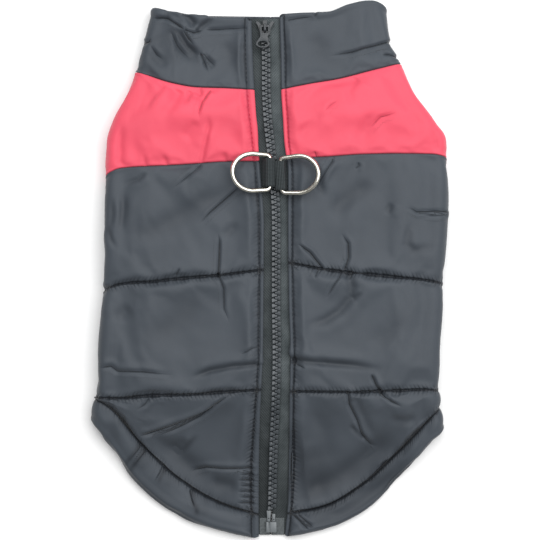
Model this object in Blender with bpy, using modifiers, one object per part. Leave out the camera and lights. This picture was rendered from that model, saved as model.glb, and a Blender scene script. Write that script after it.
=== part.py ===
"""A padded dog coat with a zip down its back, zipped up and laid flat on its belly.

The coat is a flattened tube of quilted cloth. X runs across it, Y along it towards the neck and Z up,
with the origin under the middle of its outline, on the table. Sizes are in millimetres until placed.
"""

import bisect
import math
from collections import namedtuple

import bmesh
import bpy
from mathutils import Matrix, Vector

MM = 0.001
LEFT, RIGHT = -1, 1

# The cloth: shell, wadding and lining, sewn through at the seams and full between them.
WALL = 4.0  # thickness at a seam
FOLDED_EDGE = 2.0  # thickness where it is folded back and stitched flat over the zip's tapes
LOFT = 5.0  # how far a full quilted channel stands above its seams
COLLAR_LOFT = 3.5
SIDE_LOFT = 2.0  # the part of the outline at the sides that is loft
SEAM_GAP = 0.4
HAIR = 0.3  # the gap between pieces that meet face to face

# Sections across the coat, from the tail to the neck: the outline's left and right, the two folded edges
# along the zip, the zip's own middle line, and the height of the seams above the table.
Section = namedtuple("Section", "along left left_edge zip right_edge right height")
SECTIONS = (
    Section(-181, -119.0, -7.6, 0.4, 9.6, 115.0, 4),
    Section(-155, -119.0, -7.8, 1.2, 11.7, 115.0, 4),
    Section(-125, -119.0, -7.5, 1.9, 12.2, 115.0, 8),
    Section(-100, -119.0, -6.9, 2.9, 12.4, 114.8, 15),
    Section(-80, -117.8, -6.0, 3.7, 12.6, 113.8, 19.5),
    Section(-55, -116.0, -4.8, 4.2, 13.0, 113.8, 20),
    Section(-20, -112.8, -4.5, 3.7, 12.0, 116.2, 20),
    Section(30, -111.4, -4.2, 3.8, 11.4, 118.2, 20),
    Section(64, -111.6, -6.6, 2.1, 11.4, 119.6, 20),
    Section(86, -109.6, -8.2, -0.3, 9.0, 118.0, 20),
    Section(100, -105.0, -9.2, -1.8, 8.2, 110.0, 20),
    Section(120, -95.0, -10.5, -2.8, 7.0, 96.0, 18.5),
    Section(140, -87.5, -11.7, -2.9, 6.7, 85.0, 17),
    Section(154, -83.0, -12.2, -3.4, 6.3, 79.0, 17),
    Section(165, -80.5, -12.4, -3.8, 6.0, 77.5, 17),
    Section(180, -77.0, -12.4, -3.8, 6.0, 76.0, 17),
)
ALONG = [section.along for section in SECTIONS]

# Round the coat, u counts from the zip: 0 at the folded edge beside it, 1 where the side begins to roll,
# 1.5 at the outline, 2 where the roll reaches the table, 3 at the belly seam and 4 under the throat.
ROUND = (0, 0.25, 0.5, 0.75, 1, 1.5, 2, 3, 4)
BELLY_SEAM = 57.0

# Each seam, and each line of quilting, as its place along the coat at those stations.
Seam = namedtuple("Seam", "at_zip quarter half three_quarters at_roll at_side under at_belly at_throat")
COLLAR_TOP = {
    LEFT: Seam(167.8, 167.8, 169.5, 170.5, 172.7, 174.3, 174.0, 171.0, 168.5),
    RIGHT: Seam(169.5, 171.3, 173.3, 178.5, 180.4, 176.5, 173.0, 170.0, 168.5),
}
COLLAR_SEAM = {
    LEFT: Seam(120.0, 121.0, 121.6, 124.5, 129.8, 132.6, 133.0, 129.0, 124.0),
    RIGHT: Seam(120.2, 124.0, 127.2, 131.6, 136.0, 138.0, 137.0, 130.0, 124.0),
}
YOKE_SEAM = {
    LEFT: Seam(72.2, 71.8, 70.2, 69.0, 67.6, 62.0, 58.0, 54.0, 54.0),
    RIGHT: Seam(74.2, 75.0, 76.6, 77.2, 77.0, 74.5, 70.0, 66.0, 66.0),
}
FIRST_QUILTING = {
    LEFT: Seam(0.0, -2.8, -5.2, -7.6, -10.0, -15.0, -16.0, -16.0, -16.0),
    RIGHT: Seam(4.8, 0.7, -2.2, -4.7, -7.2, -10.0, -12.0, -13.0, -13.0),
}
SECOND_QUILTING = {
    LEFT: Seam(-79.8, -81.3, -82.9, -84.0, -85.5, -85.0, -81.0, -80.0, -80.0),
    RIGHT: Seam(-81.0, -81.0, -81.0, -80.2, -79.8, -80.7, -80.0, -80.0, -80.0),
}
HEM_SEAM = {
    LEFT: Seam(-165.0, -153.0, -137.8, -113.0, -91.2, -90.0, -89.0, -88.0, -88.0),
    RIGHT: Seam(-165.0, -159.8, -143.3, -122.5, -100.5, -94.8, -90.0, -88.0, -88.0),
}
HEM_EDGE = {
    LEFT: Seam(-180.5, -176.0, -163.5, -141.5, -108.5, -98.0, -99.0, -100.0, -100.0),
    RIGHT: Seam(-179.0, -175.3, -163.0, -138.2, -113.8, -104.0, -101.0, -100.0, -100.0),
}

# The largest folds on the upper side, as troughs from one point to another.
Fold = namedtuple("Fold", "x0 y0 x1 y1 width depth")
FOLDS = (
    Fold(-52.0, 166.0, -45.0, 139.0, 5.0, 3.0),  # the collar's gather
    Fold(-69.0, 162.0, -50.0, 140.0, 5.0, 2.5),
    Fold(-108.0, -68.0, -8.0, -64.0, 4.0, 2.5),  # over the second line of quilting
    Fold(18.0, -61.0, 52.0, -65.0, 4.0, 2.5),
    Fold(-98.0, 16.0, -30.0, 58.0, 8.0, 1.5),  # slanting across the left shoulder
    Fold(-89.0, -112.0, -26.0, -83.0, 4.0, 1.5),
)

# Where a piece has a column or a row of corners: closer on the rolls and beside the seams.
TOP_COLUMNS = (0, 0.04, 0.1, 0.18, 0.27, 0.36, 0.45, 0.54, 0.63, 0.72, 0.81, 0.9, 1)
ROLL_COLUMNS = (1.17, 1.33, 1.5, 1.67, 1.83, 2)
UNDER_COLUMNS = (2.33, 2.67, 3)
THROAT_COLUMNS = (3.33, 3.67, 4)
PANEL_COLUMNS = TOP_COLUMNS + ROLL_COLUMNS + UNDER_COLUMNS
CHANNEL_ROWS = (0, 0.08, 0.25, 0.5, 0.75, 0.92, 1)

# The leg holes, cut through the underside across the belly seam, and the binding sewn round them.
LEG_HOLE_X, LEG_HOLE_Y = 58.0, 76.0
LEG_HOLE_ACROSS, LEG_HOLE_ALONG = 48.0, 68.0
BINDING = 3.8

# The zip: a chain of moulded teeth 5.8 wide on woven tapes, its slider at the neck and its box at the tail.
TAPE = 1.0
TAPE_DROP = FOLDED_EDGE + HAIR  # from the seams' level down to the tapes
TAPE_UNDER = 2.0  # how far a tape reaches under the folded edge beside it
CHAIN_WIDTH, CHAIN_HEIGHT = 5.8, 2.2
TAPE_TOP, TAPE_END = 166.5, -178.0
STRIP_STEP = 8.0  # between the sections of the long flat pieces
BOX_WIDTH, BOX_LENGTH, BOX_HEIGHT = 6.8, 7.6, 3.2
BOX_MIDDLE = -172.6
SLIDER_TOP, SLIDER_LENGTH = 166.0, 10.0
SLIDER_WIDE, SLIDER_NARROW, SLIDER_HEIGHT = 9.2, 7.0, 2.9
BRIDGE_WIDTH, BRIDGE_LENGTH, BRIDGE_HEIGHT, BRIDGE_WALL = 2.2, 6.4, 3.5, 1.0
PULL_LENGTH, PULL_WIDTH, PULL_NECK, PULL_THICK = 15.4, 9.0, 6.6, 1.4
PULL_BAR = 1.4
PULL_WINDOW_WIDTH, PULL_WINDOW_LENGTH = 3.4, 4.6
PULL_EYE_WIDTH, PULL_EYE_LENGTH = 6.0, 3.6

# The lead rings: D rings of 3.2 wire for 19 webbing, each in a loop sewn in beside the zip.
WIRE = 3.2
RING_ACROSS = 24.3  # between the middles of the two arms
RING_ARM = 13.0  # the straight stretch of an arm, from the bar
RING_CORNER = 3.0
WEBBING_WIDTH, WEBBING = 19.0, 1.3
EYE = WIRE + 2 * HAIR
Ring = namedtuple("Ring", "name side bar_x bar_y turn tilt anchor_x")
RINGS = (
    Ring("left", LEFT, -0.4, 64.3, 0.0, 12.0, -5.4),
    Ring("right", RIGHT, 7.2, 62.2, 3.0, 15.0, 10.4),
)


def through(stations, values, at):
    """Reads the smooth curve through values at rising stations; it never overshoots them."""
    last = len(stations) - 1
    k = min(max(bisect.bisect_right(stations, at) - 1, 0), last - 1)
    rises = [(values[i + 1] - values[i]) / (stations[i + 1] - stations[i]) for i in range(last)]

    def slope(i):
        before, after = rises[max(i - 1, 0)], rises[min(i, last - 1)]
        return 2 * before * after / (before + after) if before * after > 0 else 0.0

    span = stations[k + 1] - stations[k]
    t = min(max((at - stations[k]) / span, 0.0), 1.0)
    ease = t * t * (3 - 2 * t)
    return (
        values[k] * (1 - ease)
        + values[k + 1] * ease
        + span * t * (1 - t) * ((1 - t) * slope(k) - t * slope(k + 1))
    )


def section_at(along):
    columns = zip(*SECTIONS)
    next(columns)
    return Section(along, *(through(ALONG, values, along) for values in columns))


def seam_at(seam, side, u):
    return through(ROUND, seam[side], u)


def base_point(side, u, along):
    """A point at the seams' level, and the way out of the cloth there."""
    section = section_at(along)
    radius = section.height / 2
    reach = section.right if side == RIGHT else -section.left
    edge = section.right_edge if side == RIGHT else -section.left_edge
    roll = reach - SIDE_LOFT - radius
    if u <= 1:
        x, z, out = edge + u * (roll - edge), section.height, (0, 1)
    elif u <= 2:
        turn = math.pi * (u - 1)
        out = (math.sin(turn), math.cos(turn))
        x, z = roll + radius * out[0], radius + radius * out[1]
    elif u <= 3:
        x, z, out = roll + (u - 2) * (BELLY_SEAM - roll), 0.0, (0, -1)
    else:
        x, z, out = HAIR / 2 + (4 - u) * (BELLY_SEAM - HAIR / 2), 0.0, (0, -1)
    return Vector((side * x, along, z)), Vector((side * out[0], 0, out[1]))


def fold_depth(point):
    """How deep the folds are at a point of the upper side."""
    depth = 0.0
    for fold in FOLDS:
        start, end = Vector((fold.x0, fold.y0)), Vector((fold.x1, fold.y1))
        way = end - start
        share = min(max((point.xy - start).dot(way) / way.length_squared, 0.0), 1.0)
        away = (point.xy - start - share * way).length / fold.width
        depth = max(depth, fold.depth * math.exp(-away * away))
    return depth


def fullness(u, t):
    """The share of the loft at u round the coat and t across a channel, from seam to seam."""
    across = math.sin(math.pi * t) ** 0.6 if 0 < t < 1 else 0.0
    beside_zip = min(1.0, 0.1 + max(0.0, u - TOP_COLUMNS[1]) / 0.12)
    below = 1.0 if u <= 1 else max(0.0, math.cos(math.pi / 2 * (u - 1))) ** 2
    return across * beside_zip * below


def cloth_point(side, u, along, t, loft):
    """The outer and inner points of the padded wall."""
    point, out = base_point(side, u, along)
    rise = loft * fullness(u, t)
    if u <= 1:
        rise = max(rise - fold_depth(point), -0.3 * WALL)
    depth = FOLDED_EDGE if u <= TOP_COLUMNS[1] else WALL
    return point + rise * out, point - depth * out


def plain_material(name, colour, roughness, metallic=0.0):
    material = bpy.data.materials.new(name)
    material.use_nodes = True
    shader = material.node_tree.nodes["Principled BSDF"]
    shader.inputs["Base Color"].default_value = (*colour, 1)
    shader.inputs["Roughness"].default_value = roughness
    shader.inputs["Metallic"].default_value = metallic
    return material


def add_object(name, data, material, collection):
    made = bpy.data.objects.new(name, data)
    made.data.materials.append(material)
    collection.objects.link(made)
    return made


def move_to(collection, thing):
    for held_by in list(thing.users_collection):
        held_by.objects.unlink(thing)
    collection.objects.link(thing)


def wall(name, rows, material, collection):
    """A closed wall lofted through rows of (outer, inner) points, all rows alike in number."""
    mesh = bmesh.new()
    outer = [[mesh.verts.new(pair[0] * MM) for pair in row] for row in rows]
    inner = [[mesh.verts.new(pair[1] * MM) for pair in row] for row in rows]
    for skin in (outer, inner):
        for first, second in zip(skin, skin[1:]):
            for i in range(len(first) - 1):
                mesh.faces.new((first[i], first[i + 1], second[i + 1], second[i]))
    for edge_out, edge_in in (
        (outer[0], inner[0]),
        (outer[-1], inner[-1]),
        ([row[0] for row in outer], [row[0] for row in inner]),
        ([row[-1] for row in outer], [row[-1] for row in inner]),
    ):
        for i in range(len(edge_out) - 1):
            mesh.faces.new((edge_out[i], edge_out[i + 1], edge_in[i + 1], edge_in[i]))
    bmesh.ops.recalc_face_normals(mesh, faces=mesh.faces)
    data = bpy.data.meshes.new(name)
    mesh.to_mesh(data)
    mesh.free()
    data.shade_smooth()
    data.set_sharp_from_angle(angle=math.radians(50))
    return add_object(name, data, material, collection)


def channel_rows(side, upper, lower, columns, loft):
    """The rows of one quilted channel, from its upper line to its lower one."""
    rows = []
    for t in CHANNEL_ROWS:
        row = []
        for u in columns:
            along = (1 - t) * seam_at(upper, side, u) + t * seam_at(lower, side, u)
            row.append(cloth_point(side, u, along, t, loft))
        rows.append(row)
    return rows


def drawn_in(row, way):
    """The row moved along the coat until its seam's gap is true, also where the seam slants."""
    moved = []
    for i, (outer, inner) in enumerate(row):
        before, after = row[max(i - 1, 0)][0], row[min(i + 1, len(row) - 1)][0]
        run = math.hypot(after.x - before.x, after.z - before.z)
        step = Vector((0, way * SEAM_GAP / 2 * math.hypot(1, (after.y - before.y) / run), 0))
        moved.append((outer + step, inner + step))
    return moved


def trimmed(rows, upper_cut, lower_cut):
    """The rows with the first and the last drawn in, to leave the gaps at the seams."""
    first = drawn_in(rows[0], -1) if upper_cut else rows[0]
    last = drawn_in(rows[-1], 1) if lower_cut else rows[-1]
    return [first, *rows[1:-1], last]


def add_panels(side, shell, yoke_cloth, collection):
    """One half of the coat: collar, yoke, quilted back and hem band, each from the zip to the belly."""
    word = "left" if side == LEFT else "right"
    collar_columns = PANEL_COLUMNS + THROAT_COLUMNS
    rows = channel_rows(side, COLLAR_TOP, COLLAR_SEAM, collar_columns, COLLAR_LOFT)
    wall(f"collar_{word}", trimmed(rows, False, True), shell, collection)
    rows = channel_rows(side, COLLAR_SEAM, YOKE_SEAM, PANEL_COLUMNS, LOFT)
    yoke = wall(f"yoke_{word}", trimmed(rows, True, True), yoke_cloth, collection)
    rows = []
    lines = (YOKE_SEAM, FIRST_QUILTING, SECOND_QUILTING, HEM_SEAM)
    for upper, lower in zip(lines, lines[1:]):
        rows = rows[:-1] + channel_rows(side, upper, lower, PANEL_COLUMNS, LOFT)
    back = wall(f"back_{word}", trimmed(rows, True, True), shell, collection)
    rows = channel_rows(side, HEM_SEAM, HEM_EDGE, PANEL_COLUMNS, LOFT)
    wall(f"hem_{word}", trimmed(rows, True, False), shell, collection)
    return yoke, back


def add_belly(shell, collection):
    """The flat panel under chest and belly, and the elastic casing along its hem."""
    inside = BELLY_SEAM - HAIR
    neckline = []
    for side in (LEFT, RIGHT):
        line = [
            (side * inside * (4 - u), seam_at(COLLAR_SEAM, side, u) - SEAM_GAP / 2, WALL)
            for u in (3, 3.25, 3.5, 3.75)
        ]
        neckline.append(line)
    middle = (0, COLLAR_SEAM[LEFT].at_throat - SEAM_GAP / 2, WALL)
    foot = HEM_SEAM[LEFT].at_belly + SEAM_GAP / 2
    outline = [*neckline[0], middle, *reversed(neckline[1]), (inside, foot, WALL), (-inside, foot, WALL)]
    belly = flat_wall("belly", outline, WALL, shell, collection)
    top, edge = HEM_SEAM[LEFT].at_belly - SEAM_GAP / 2, HEM_EDGE[LEFT].at_belly
    casing = [(-inside, top, WALL), (inside, top, WALL), (inside, edge, WALL), (-inside, edge, WALL)]
    flat_wall("belly_hem", casing, WALL, shell, collection)
    return belly


def flat_wall(name, outline, thickness, material, collection):
    """A flat piece of cloth under its outline."""
    mesh = bmesh.new()
    face = mesh.faces.new([mesh.verts.new(Vector(point) * MM) for point in outline])
    if face.normal.z < 0:
        face.normal_flip()
    face.normal_update()
    if face.normal.z < 0:
        face.normal_flip()
    data = bpy.data.meshes.new(name)
    mesh.to_mesh(data)
    mesh.free()
    made = add_object(name, data, material, collection)
    thick = made.modifiers.new("cloth", "SOLIDIFY")
    thick.thickness = thickness * MM
    thick.offset = -1
    return made


def add_leg_holes(pieces, binding_cloth, collection, cutters):
    """Cuts both leg holes through every piece they cross, and binds their edges."""
    for side, word in ((LEFT, "left"), (RIGHT, "right")):
        middle = Vector((side * LEG_HOLE_X, LEG_HOLE_Y, 0))
        bpy.ops.mesh.primitive_cylinder_add(vertices=40, radius=MM / 2, depth=14 * MM)
        cutter = bpy.context.object
        cutter.name = f"leg_hole_cutter_{word}"
        stretch = Matrix.Diagonal((LEG_HOLE_ACROSS, LEG_HOLE_ALONG, 1, 1))
        cutter.data.transform(Matrix.Translation(middle * MM) @ stretch)
        move_to(cutters, cutter)
        cutter.hide_render = True
        cutter.display_type = "WIRE"
        for piece in pieces:
            cut = piece.modifiers.new(f"leg hole {word}", "BOOLEAN")
            cut.operation = "DIFFERENCE"
            cut.object = cutter
        inset = BINDING / 2 + SEAM_GAP
        add_wire(
            f"leg_binding_{word}",
            [
                middle
                + Vector(
                    (
                        (LEG_HOLE_ACROSS / 2 - inset) * math.cos(turn),
                        (LEG_HOLE_ALONG / 2 - inset) * math.sin(turn),
                        BINDING / 2 + 0.1,
                    )
                )
                for turn in (2 * math.pi * i / 36 for i in range(36))
            ],
            BINDING,
            2,
            binding_cloth,
            collection,
        )


def add_wire(name, points, thickness, resolution, material, collection):
    """A closed ring of round section through the points."""
    curve = bpy.data.curves.new(name, "CURVE")
    curve.dimensions = "3D"
    curve.bevel_depth = thickness / 2 * MM
    curve.bevel_resolution = resolution
    spline = curve.splines.new("POLY")
    spline.points.add(len(points) - 1)
    for place, point in zip(spline.points, points):
        place.co = (*(point * MM), 1)
    spline.use_cyclic_u = True
    return add_object(name, curve, material, collection)


def add_outline(name, outlines, thickness, material, collection):
    """A plate, centred on its own plane, from its outline and the outlines of its holes."""
    curve = bpy.data.curves.new(name, "CURVE")
    curve.dimensions = "2D"
    curve.fill_mode = "BOTH"
    curve.extrude = thickness / 2 * MM
    for outline in outlines:
        spline = curve.splines.new("POLY")
        spline.points.add(len(outline) - 1)
        for place, (x, y) in zip(spline.points, outline):
            place.co = (x * MM, y * MM, 0, 1)
        spline.use_cyclic_u = True
    return add_object(name, curve, material, collection)


def arc(x, y, radius_x, radius_y, start, end, steps):
    """Points of an ellipse's arc, between two angles in degrees."""
    turns = (math.radians(start + (end - start) * i / steps) for i in range(steps + 1))
    return [(x + radius_x * math.cos(turn), y + radius_y * math.sin(turn)) for turn in turns]


def strip_rows(left_x, right_x, top_z, height, start, end):
    """Rows of a flat strip that follows the zip; its places are functions of the section there."""
    rows = []
    between = range(math.ceil(end / STRIP_STEP), math.floor(start / STRIP_STEP) + 1)
    for along in (start, *(STRIP_STEP * i for i in reversed(between)), end):
        section = section_at(along)
        left, right, top = left_x(section), right_x(section), top_z(section)
        rows.append(
            [
                (Vector((x, along, top)), Vector((x, along, top - height)))
                for x in (left, (left + right) / 2, right)
            ]
        )
    return rows


def add_zip(tape_cloth, plastic, collection):
    tape_level = lambda section: section.height - TAPE_DROP
    chain_level = lambda section: tape_level(section) + HAIR + CHAIN_HEIGHT
    wall(
        "zip_tape_left",
        strip_rows(
            lambda section: section.left_edge - TAPE_UNDER,
            lambda section: section.zip - HAIR / 2,
            tape_level, TAPE, TAPE_TOP, TAPE_END,
        ),
        tape_cloth,
        collection,
    )
    wall(
        "zip_tape_right",
        strip_rows(
            lambda section: section.zip + HAIR / 2,
            lambda section: section.right_edge + TAPE_UNDER,
            tape_level, TAPE, TAPE_TOP, TAPE_END,
        ),
        tape_cloth,
        collection,
    )
    chain_top = SLIDER_TOP - SLIDER_LENGTH - HAIR
    chain_end = BOX_MIDDLE + BOX_LENGTH / 2 + HAIR
    wall(
        "zip_chain",
        strip_rows(
            lambda section: section.zip - CHAIN_WIDTH / 2,
            lambda section: section.zip + CHAIN_WIDTH / 2,
            chain_level, CHAIN_HEIGHT, chain_top, chain_end,
        ),
        plastic,
        collection,
    )
    section = section_at(BOX_MIDDLE)
    bpy.ops.mesh.primitive_cube_add(size=MM)
    box = bpy.context.object
    box.name = "zip_box"
    box.data.transform(Matrix.Diagonal((BOX_WIDTH, BOX_LENGTH, BOX_HEIGHT, 1)))
    middle = tape_level(section) + HAIR + BOX_HEIGHT / 2
    box.location = Vector((section.zip, BOX_MIDDLE, middle)) * MM
    rounded = box.modifiers.new("rounded", "BEVEL")
    rounded.width = 0.6 * MM
    rounded.segments = 2
    box.data.materials.append(plastic)
    move_to(collection, box)
    add_slider(plastic, collection)


def add_slider(plastic, collection):
    """The slider, its bridge, and the pull that turns on the bar held under the bridge."""
    middle = SLIDER_TOP - SLIDER_LENGTH / 2
    section = section_at(middle)
    floor = section.height - TAPE_DROP + HAIR
    roof = floor + SLIDER_HEIGHT
    wide, narrow, half = SLIDER_WIDE / 2, SLIDER_NARROW / 2, SLIDER_LENGTH / 2
    outline = [
        (-wide, half), (wide, half), (wide, 0.2 * half), (narrow, -0.5 * half),
        (narrow, -half), (-narrow, -half), (-narrow, -0.5 * half), (-wide, 0.2 * half),
    ]
    body = add_outline("slider_plate", [outline], SLIDER_HEIGHT, plastic, collection)
    body.location = Vector((section.zip, middle, floor + SLIDER_HEIGHT / 2)) * MM
    # The bridge is a staple that runs along the zip, and its feet go a little way into the plate.
    sink = 0.5
    length, rise = BRIDGE_LENGTH / 2, BRIDGE_HEIGHT
    staple = [
        (-length, -sink), (-length, 0.7 * rise), (-0.7 * length, rise), (0.7 * length, rise),
        (length, 0.7 * rise), (length, -sink), (length - BRIDGE_WALL, -sink),
        (length - BRIDGE_WALL, rise - BRIDGE_WALL), (-length + BRIDGE_WALL, rise - BRIDGE_WALL),
        (-length + BRIDGE_WALL, -sink),
    ]
    bridge = add_outline("slider_bridge", [staple], BRIDGE_WIDTH, plastic, collection)
    stand = Matrix.Rotation(math.radians(90), 4, "Z") @ Matrix.Rotation(math.radians(90), 4, "X")
    bridge.matrix_world = Matrix.Translation(Vector((section.zip, middle, roof)) * MM) @ stand
    body = mesh_of("zip_slider", body, collection)
    bridge = mesh_of("bridge", bridge, collection)
    join = body.modifiers.new("bridge", "BOOLEAN")
    join.operation = "UNION"
    join.object = bridge
    bpy.context.view_layer.update()
    joined = bpy.data.meshes.new_from_object(
        body.evaluated_get(bpy.context.evaluated_depsgraph_get())
    )
    body.modifiers.clear()
    body.data = joined
    bpy.data.objects.remove(bridge)

    bar_radius = PULL_BAR / math.sqrt(2)
    bar_z = roof + HAIR / 2 + bar_radius
    bar_y = middle + length - BRIDGE_WALL - HAIR - bar_radius
    head = PULL_BAR / 2
    window = head + PULL_WINDOW_LENGTH
    foot = PULL_LENGTH - head
    neck, belly = PULL_NECK / 2, PULL_WIDTH / 2
    eye_middle = foot - 1.2 - PULL_EYE_LENGTH / 2
    outline = [
        (neck, head), (-neck, head), (-neck, -window - 1), (-neck + 0.8, -window - 3),
        *arc(0, -eye_middle, belly, PULL_EYE_LENGTH / 2 + 1.2, 160, 380, 14),
        (neck - 0.8, -window - 3), (neck, -window - 1),
    ]
    half_window = PULL_WINDOW_WIDTH / 2
    hole = [(half_window, -head), (-half_window, -head), (-half_window, -window), (half_window, -window)]
    eye = arc(0, -eye_middle, PULL_EYE_WIDTH / 2, PULL_EYE_LENGTH / 2, 0, 345, 23)
    pull = add_outline("pull_plate", [outline, hole, eye], PULL_THICK, plastic, collection)
    pull.location = Vector((section.zip, bar_y, bar_z)) * MM
    mesh_of("zip_pull", pull, collection)


def mesh_of(name, source, collection):
    """The object as a mesh with its caps welded, in the same place, under a new name."""
    bpy.context.view_layer.update()
    data = bpy.data.meshes.new_from_object(source.evaluated_get(bpy.context.evaluated_depsgraph_get()))
    mesh = bmesh.new()
    mesh.from_mesh(data)
    bmesh.ops.remove_doubles(mesh, verts=mesh.verts, dist=0.00001)
    mesh.to_mesh(data)
    mesh.free()
    made = bpy.data.objects.new(name, data)
    made.matrix_world = source.matrix_world
    collection.objects.link(made)
    bpy.data.objects.remove(source)
    return made


def ring_points(side):
    """The wire's middle line: a bar along Y at the origin, and a bow that reaches out to the side."""
    half, corner = RING_ACROSS / 2, RING_CORNER
    points = arc(corner, -half + corner, corner, corner, 180, 270, 4)
    points += arc(RING_ARM, 0, half, half, -90, 90, 16)
    points += arc(corner, half - corner, corner, corner, 90, 180, 4)
    return [Vector((side * x, y, 0)) for x, y in points]


def add_rings(webbing, metal, collection):
    loop_radius = EYE / 2 + WEBBING
    for ring in RINGS:
        section = section_at(ring.bar_y)
        chain_top = section.height - TAPE_DROP + HAIR + CHAIN_HEIGHT
        bar = Vector((ring.bar_x, ring.bar_y, chain_top + HAIR + loop_radius))
        turn = Matrix.Rotation(math.radians(ring.turn), 4, "Z")
        tilt = Matrix.Rotation(-ring.side * math.radians(ring.tilt), 4, "Y")
        bow = add_wire(f"ring_{ring.name}", ring_points(ring.side), WIRE, 3, metal, collection)
        bow.matrix_world = Matrix.Translation(bar * MM) @ turn @ tilt

        # The loop in section: round the bar, then both layers together down to the seam beside the zip.
        reach = abs(ring.anchor_x - ring.bar_x)
        low = section.height - TAPE_DROP + HAIR - bar.z
        high = low + 2 * WEBBING
        outline = arc(0, 0, loop_radius, loop_radius, 165, -112, 18)
        outline += [(-reach, low), (-reach, high)]
        hole = arc(0, 0, EYE / 2, EYE / 2, 0, 340, 17)
        loop = add_outline("loop", [outline, hole], WEBBING_WIDTH, webbing, collection)
        stand = Matrix.Rotation(math.radians(90), 4, "X")
        facing = Matrix.Rotation(math.pi, 4, "Z") if ring.side == RIGHT else Matrix.Identity(4)
        loop.matrix_world = Matrix.Translation(bar * MM) @ turn @ facing @ stand
        mesh_of(f"ring_loop_{ring.name}", loop, collection)


def main():
    for thing in list(bpy.data.objects):
        bpy.data.objects.remove(thing)
    collection = bpy.data.collections.new("dog_coat")
    cutters = bpy.data.collections.new("cutters")
    bpy.context.scene.collection.children.link(collection)
    bpy.context.scene.collection.children.link(cutters)
    shell = plain_material("dark quilted nylon", (0.09, 0.1, 0.12), 0.55)
    yoke_cloth = plain_material("red quilted nylon", (0.9, 0.12, 0.18), 0.5)
    tape_cloth = plain_material("woven zip tape", (0.06, 0.065, 0.07), 0.85)
    webbing = plain_material("polyester webbing", (0.03, 0.035, 0.035), 0.8)
    plastic = plain_material("moulded zip plastic", (0.05, 0.055, 0.06), 0.4)
    metal = plain_material("nickel plated steel", (0.8, 0.79, 0.75), 0.15, 1.0)
    under = [add_belly(shell, collection)]
    for side in (LEFT, RIGHT):
        under += add_panels(side, shell, yoke_cloth, collection)
    add_leg_holes(under, tape_cloth, collection, cutters)
    add_zip(tape_cloth, plastic, collection)
    add_rings(webbing, metal, collection)


main()
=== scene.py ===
"""The looks of a padded dog coat, zipped up and laid flat on its belly, on a plain pale floor."""

import math
from collections import namedtuple

import bmesh
import bpy
import numpy as np
from mathutils import Matrix, Vector


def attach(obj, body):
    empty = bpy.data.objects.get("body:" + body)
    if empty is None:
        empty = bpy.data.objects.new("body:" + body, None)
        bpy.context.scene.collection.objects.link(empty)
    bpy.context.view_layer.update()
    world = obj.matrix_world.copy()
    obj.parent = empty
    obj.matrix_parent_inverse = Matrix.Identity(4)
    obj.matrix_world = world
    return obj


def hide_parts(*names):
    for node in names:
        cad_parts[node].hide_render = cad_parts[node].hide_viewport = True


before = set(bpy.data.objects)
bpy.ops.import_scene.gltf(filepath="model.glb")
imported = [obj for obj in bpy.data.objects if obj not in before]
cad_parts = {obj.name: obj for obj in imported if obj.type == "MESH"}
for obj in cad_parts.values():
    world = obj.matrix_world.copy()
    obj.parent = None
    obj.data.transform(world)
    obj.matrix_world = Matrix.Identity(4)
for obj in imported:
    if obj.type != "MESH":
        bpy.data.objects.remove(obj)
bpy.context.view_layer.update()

bpy.ops.object.select_all(action="DESELECT")
MM = 0.001

# ------------------------------------------------------------------------------
# The camera looks straight down at the coat, its top edge towards the neck, from an arm's length.
# The photograph shows 540 by 540 pixels of 0.67 mm each at the level of the seams.
# ------------------------------------------------------------------------------
PICTURE_SIDE = 540 * 0.67 * MM
SEAM_LEVEL = 12 * MM
CAMERA_HEIGHT = 900 * MM


def add_object(name, data):
    """A new object in the scene, from its mesh, curve, camera or lamp."""
    made = bpy.data.objects.new(name, data)
    bpy.context.scene.collection.objects.link(made)
    return made


camera = add_object("camera", bpy.data.cameras.new("camera"))
camera.location = (-0.3 * MM, -0.2 * MM, CAMERA_HEIGHT)
camera.data.sensor_width = 36
camera.data.lens = camera.data.sensor_width * (CAMERA_HEIGHT - SEAM_LEVEL) / PICTURE_SIDE
bpy.context.scene.camera = camera

# ------------------------------------------------------------------------------
# The coat is a flattened tube of quilted cloth: two layers of nylon with wadding between, sewn and laid
# flat. Its sections run across it, from the tail to the neck, and its seams run round it, in millimetres.
# ------------------------------------------------------------------------------
LEFT, RIGHT = -1, 1
SIDES = ((LEFT, "left"), (RIGHT, "right"))
WALL = 4.0  # the cloth at a seam
FOLDED_EDGE = 2.0  # the cloth where it is folded flat beside the zip
LOFT = 5.0  # how high a channel stands above its seams
COLLAR_LOFT = 3.5
SIDE_LOFT = 2.0  # how far it stands out at the sides
SEAM_GAP = 0.4
HAIR = 0.3  # between pieces that touch
THROAT_GAP = 0.03  # between the collar's halves under the throat
ROUNDING = 1.7  # how much the cloth sinks before it rolls,
ROUNDING_AT, ROUNDING_BEFORE, ROUNDING_AFTER = 1.02, 0.13, 0.22  # where, and how far to each side

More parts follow.
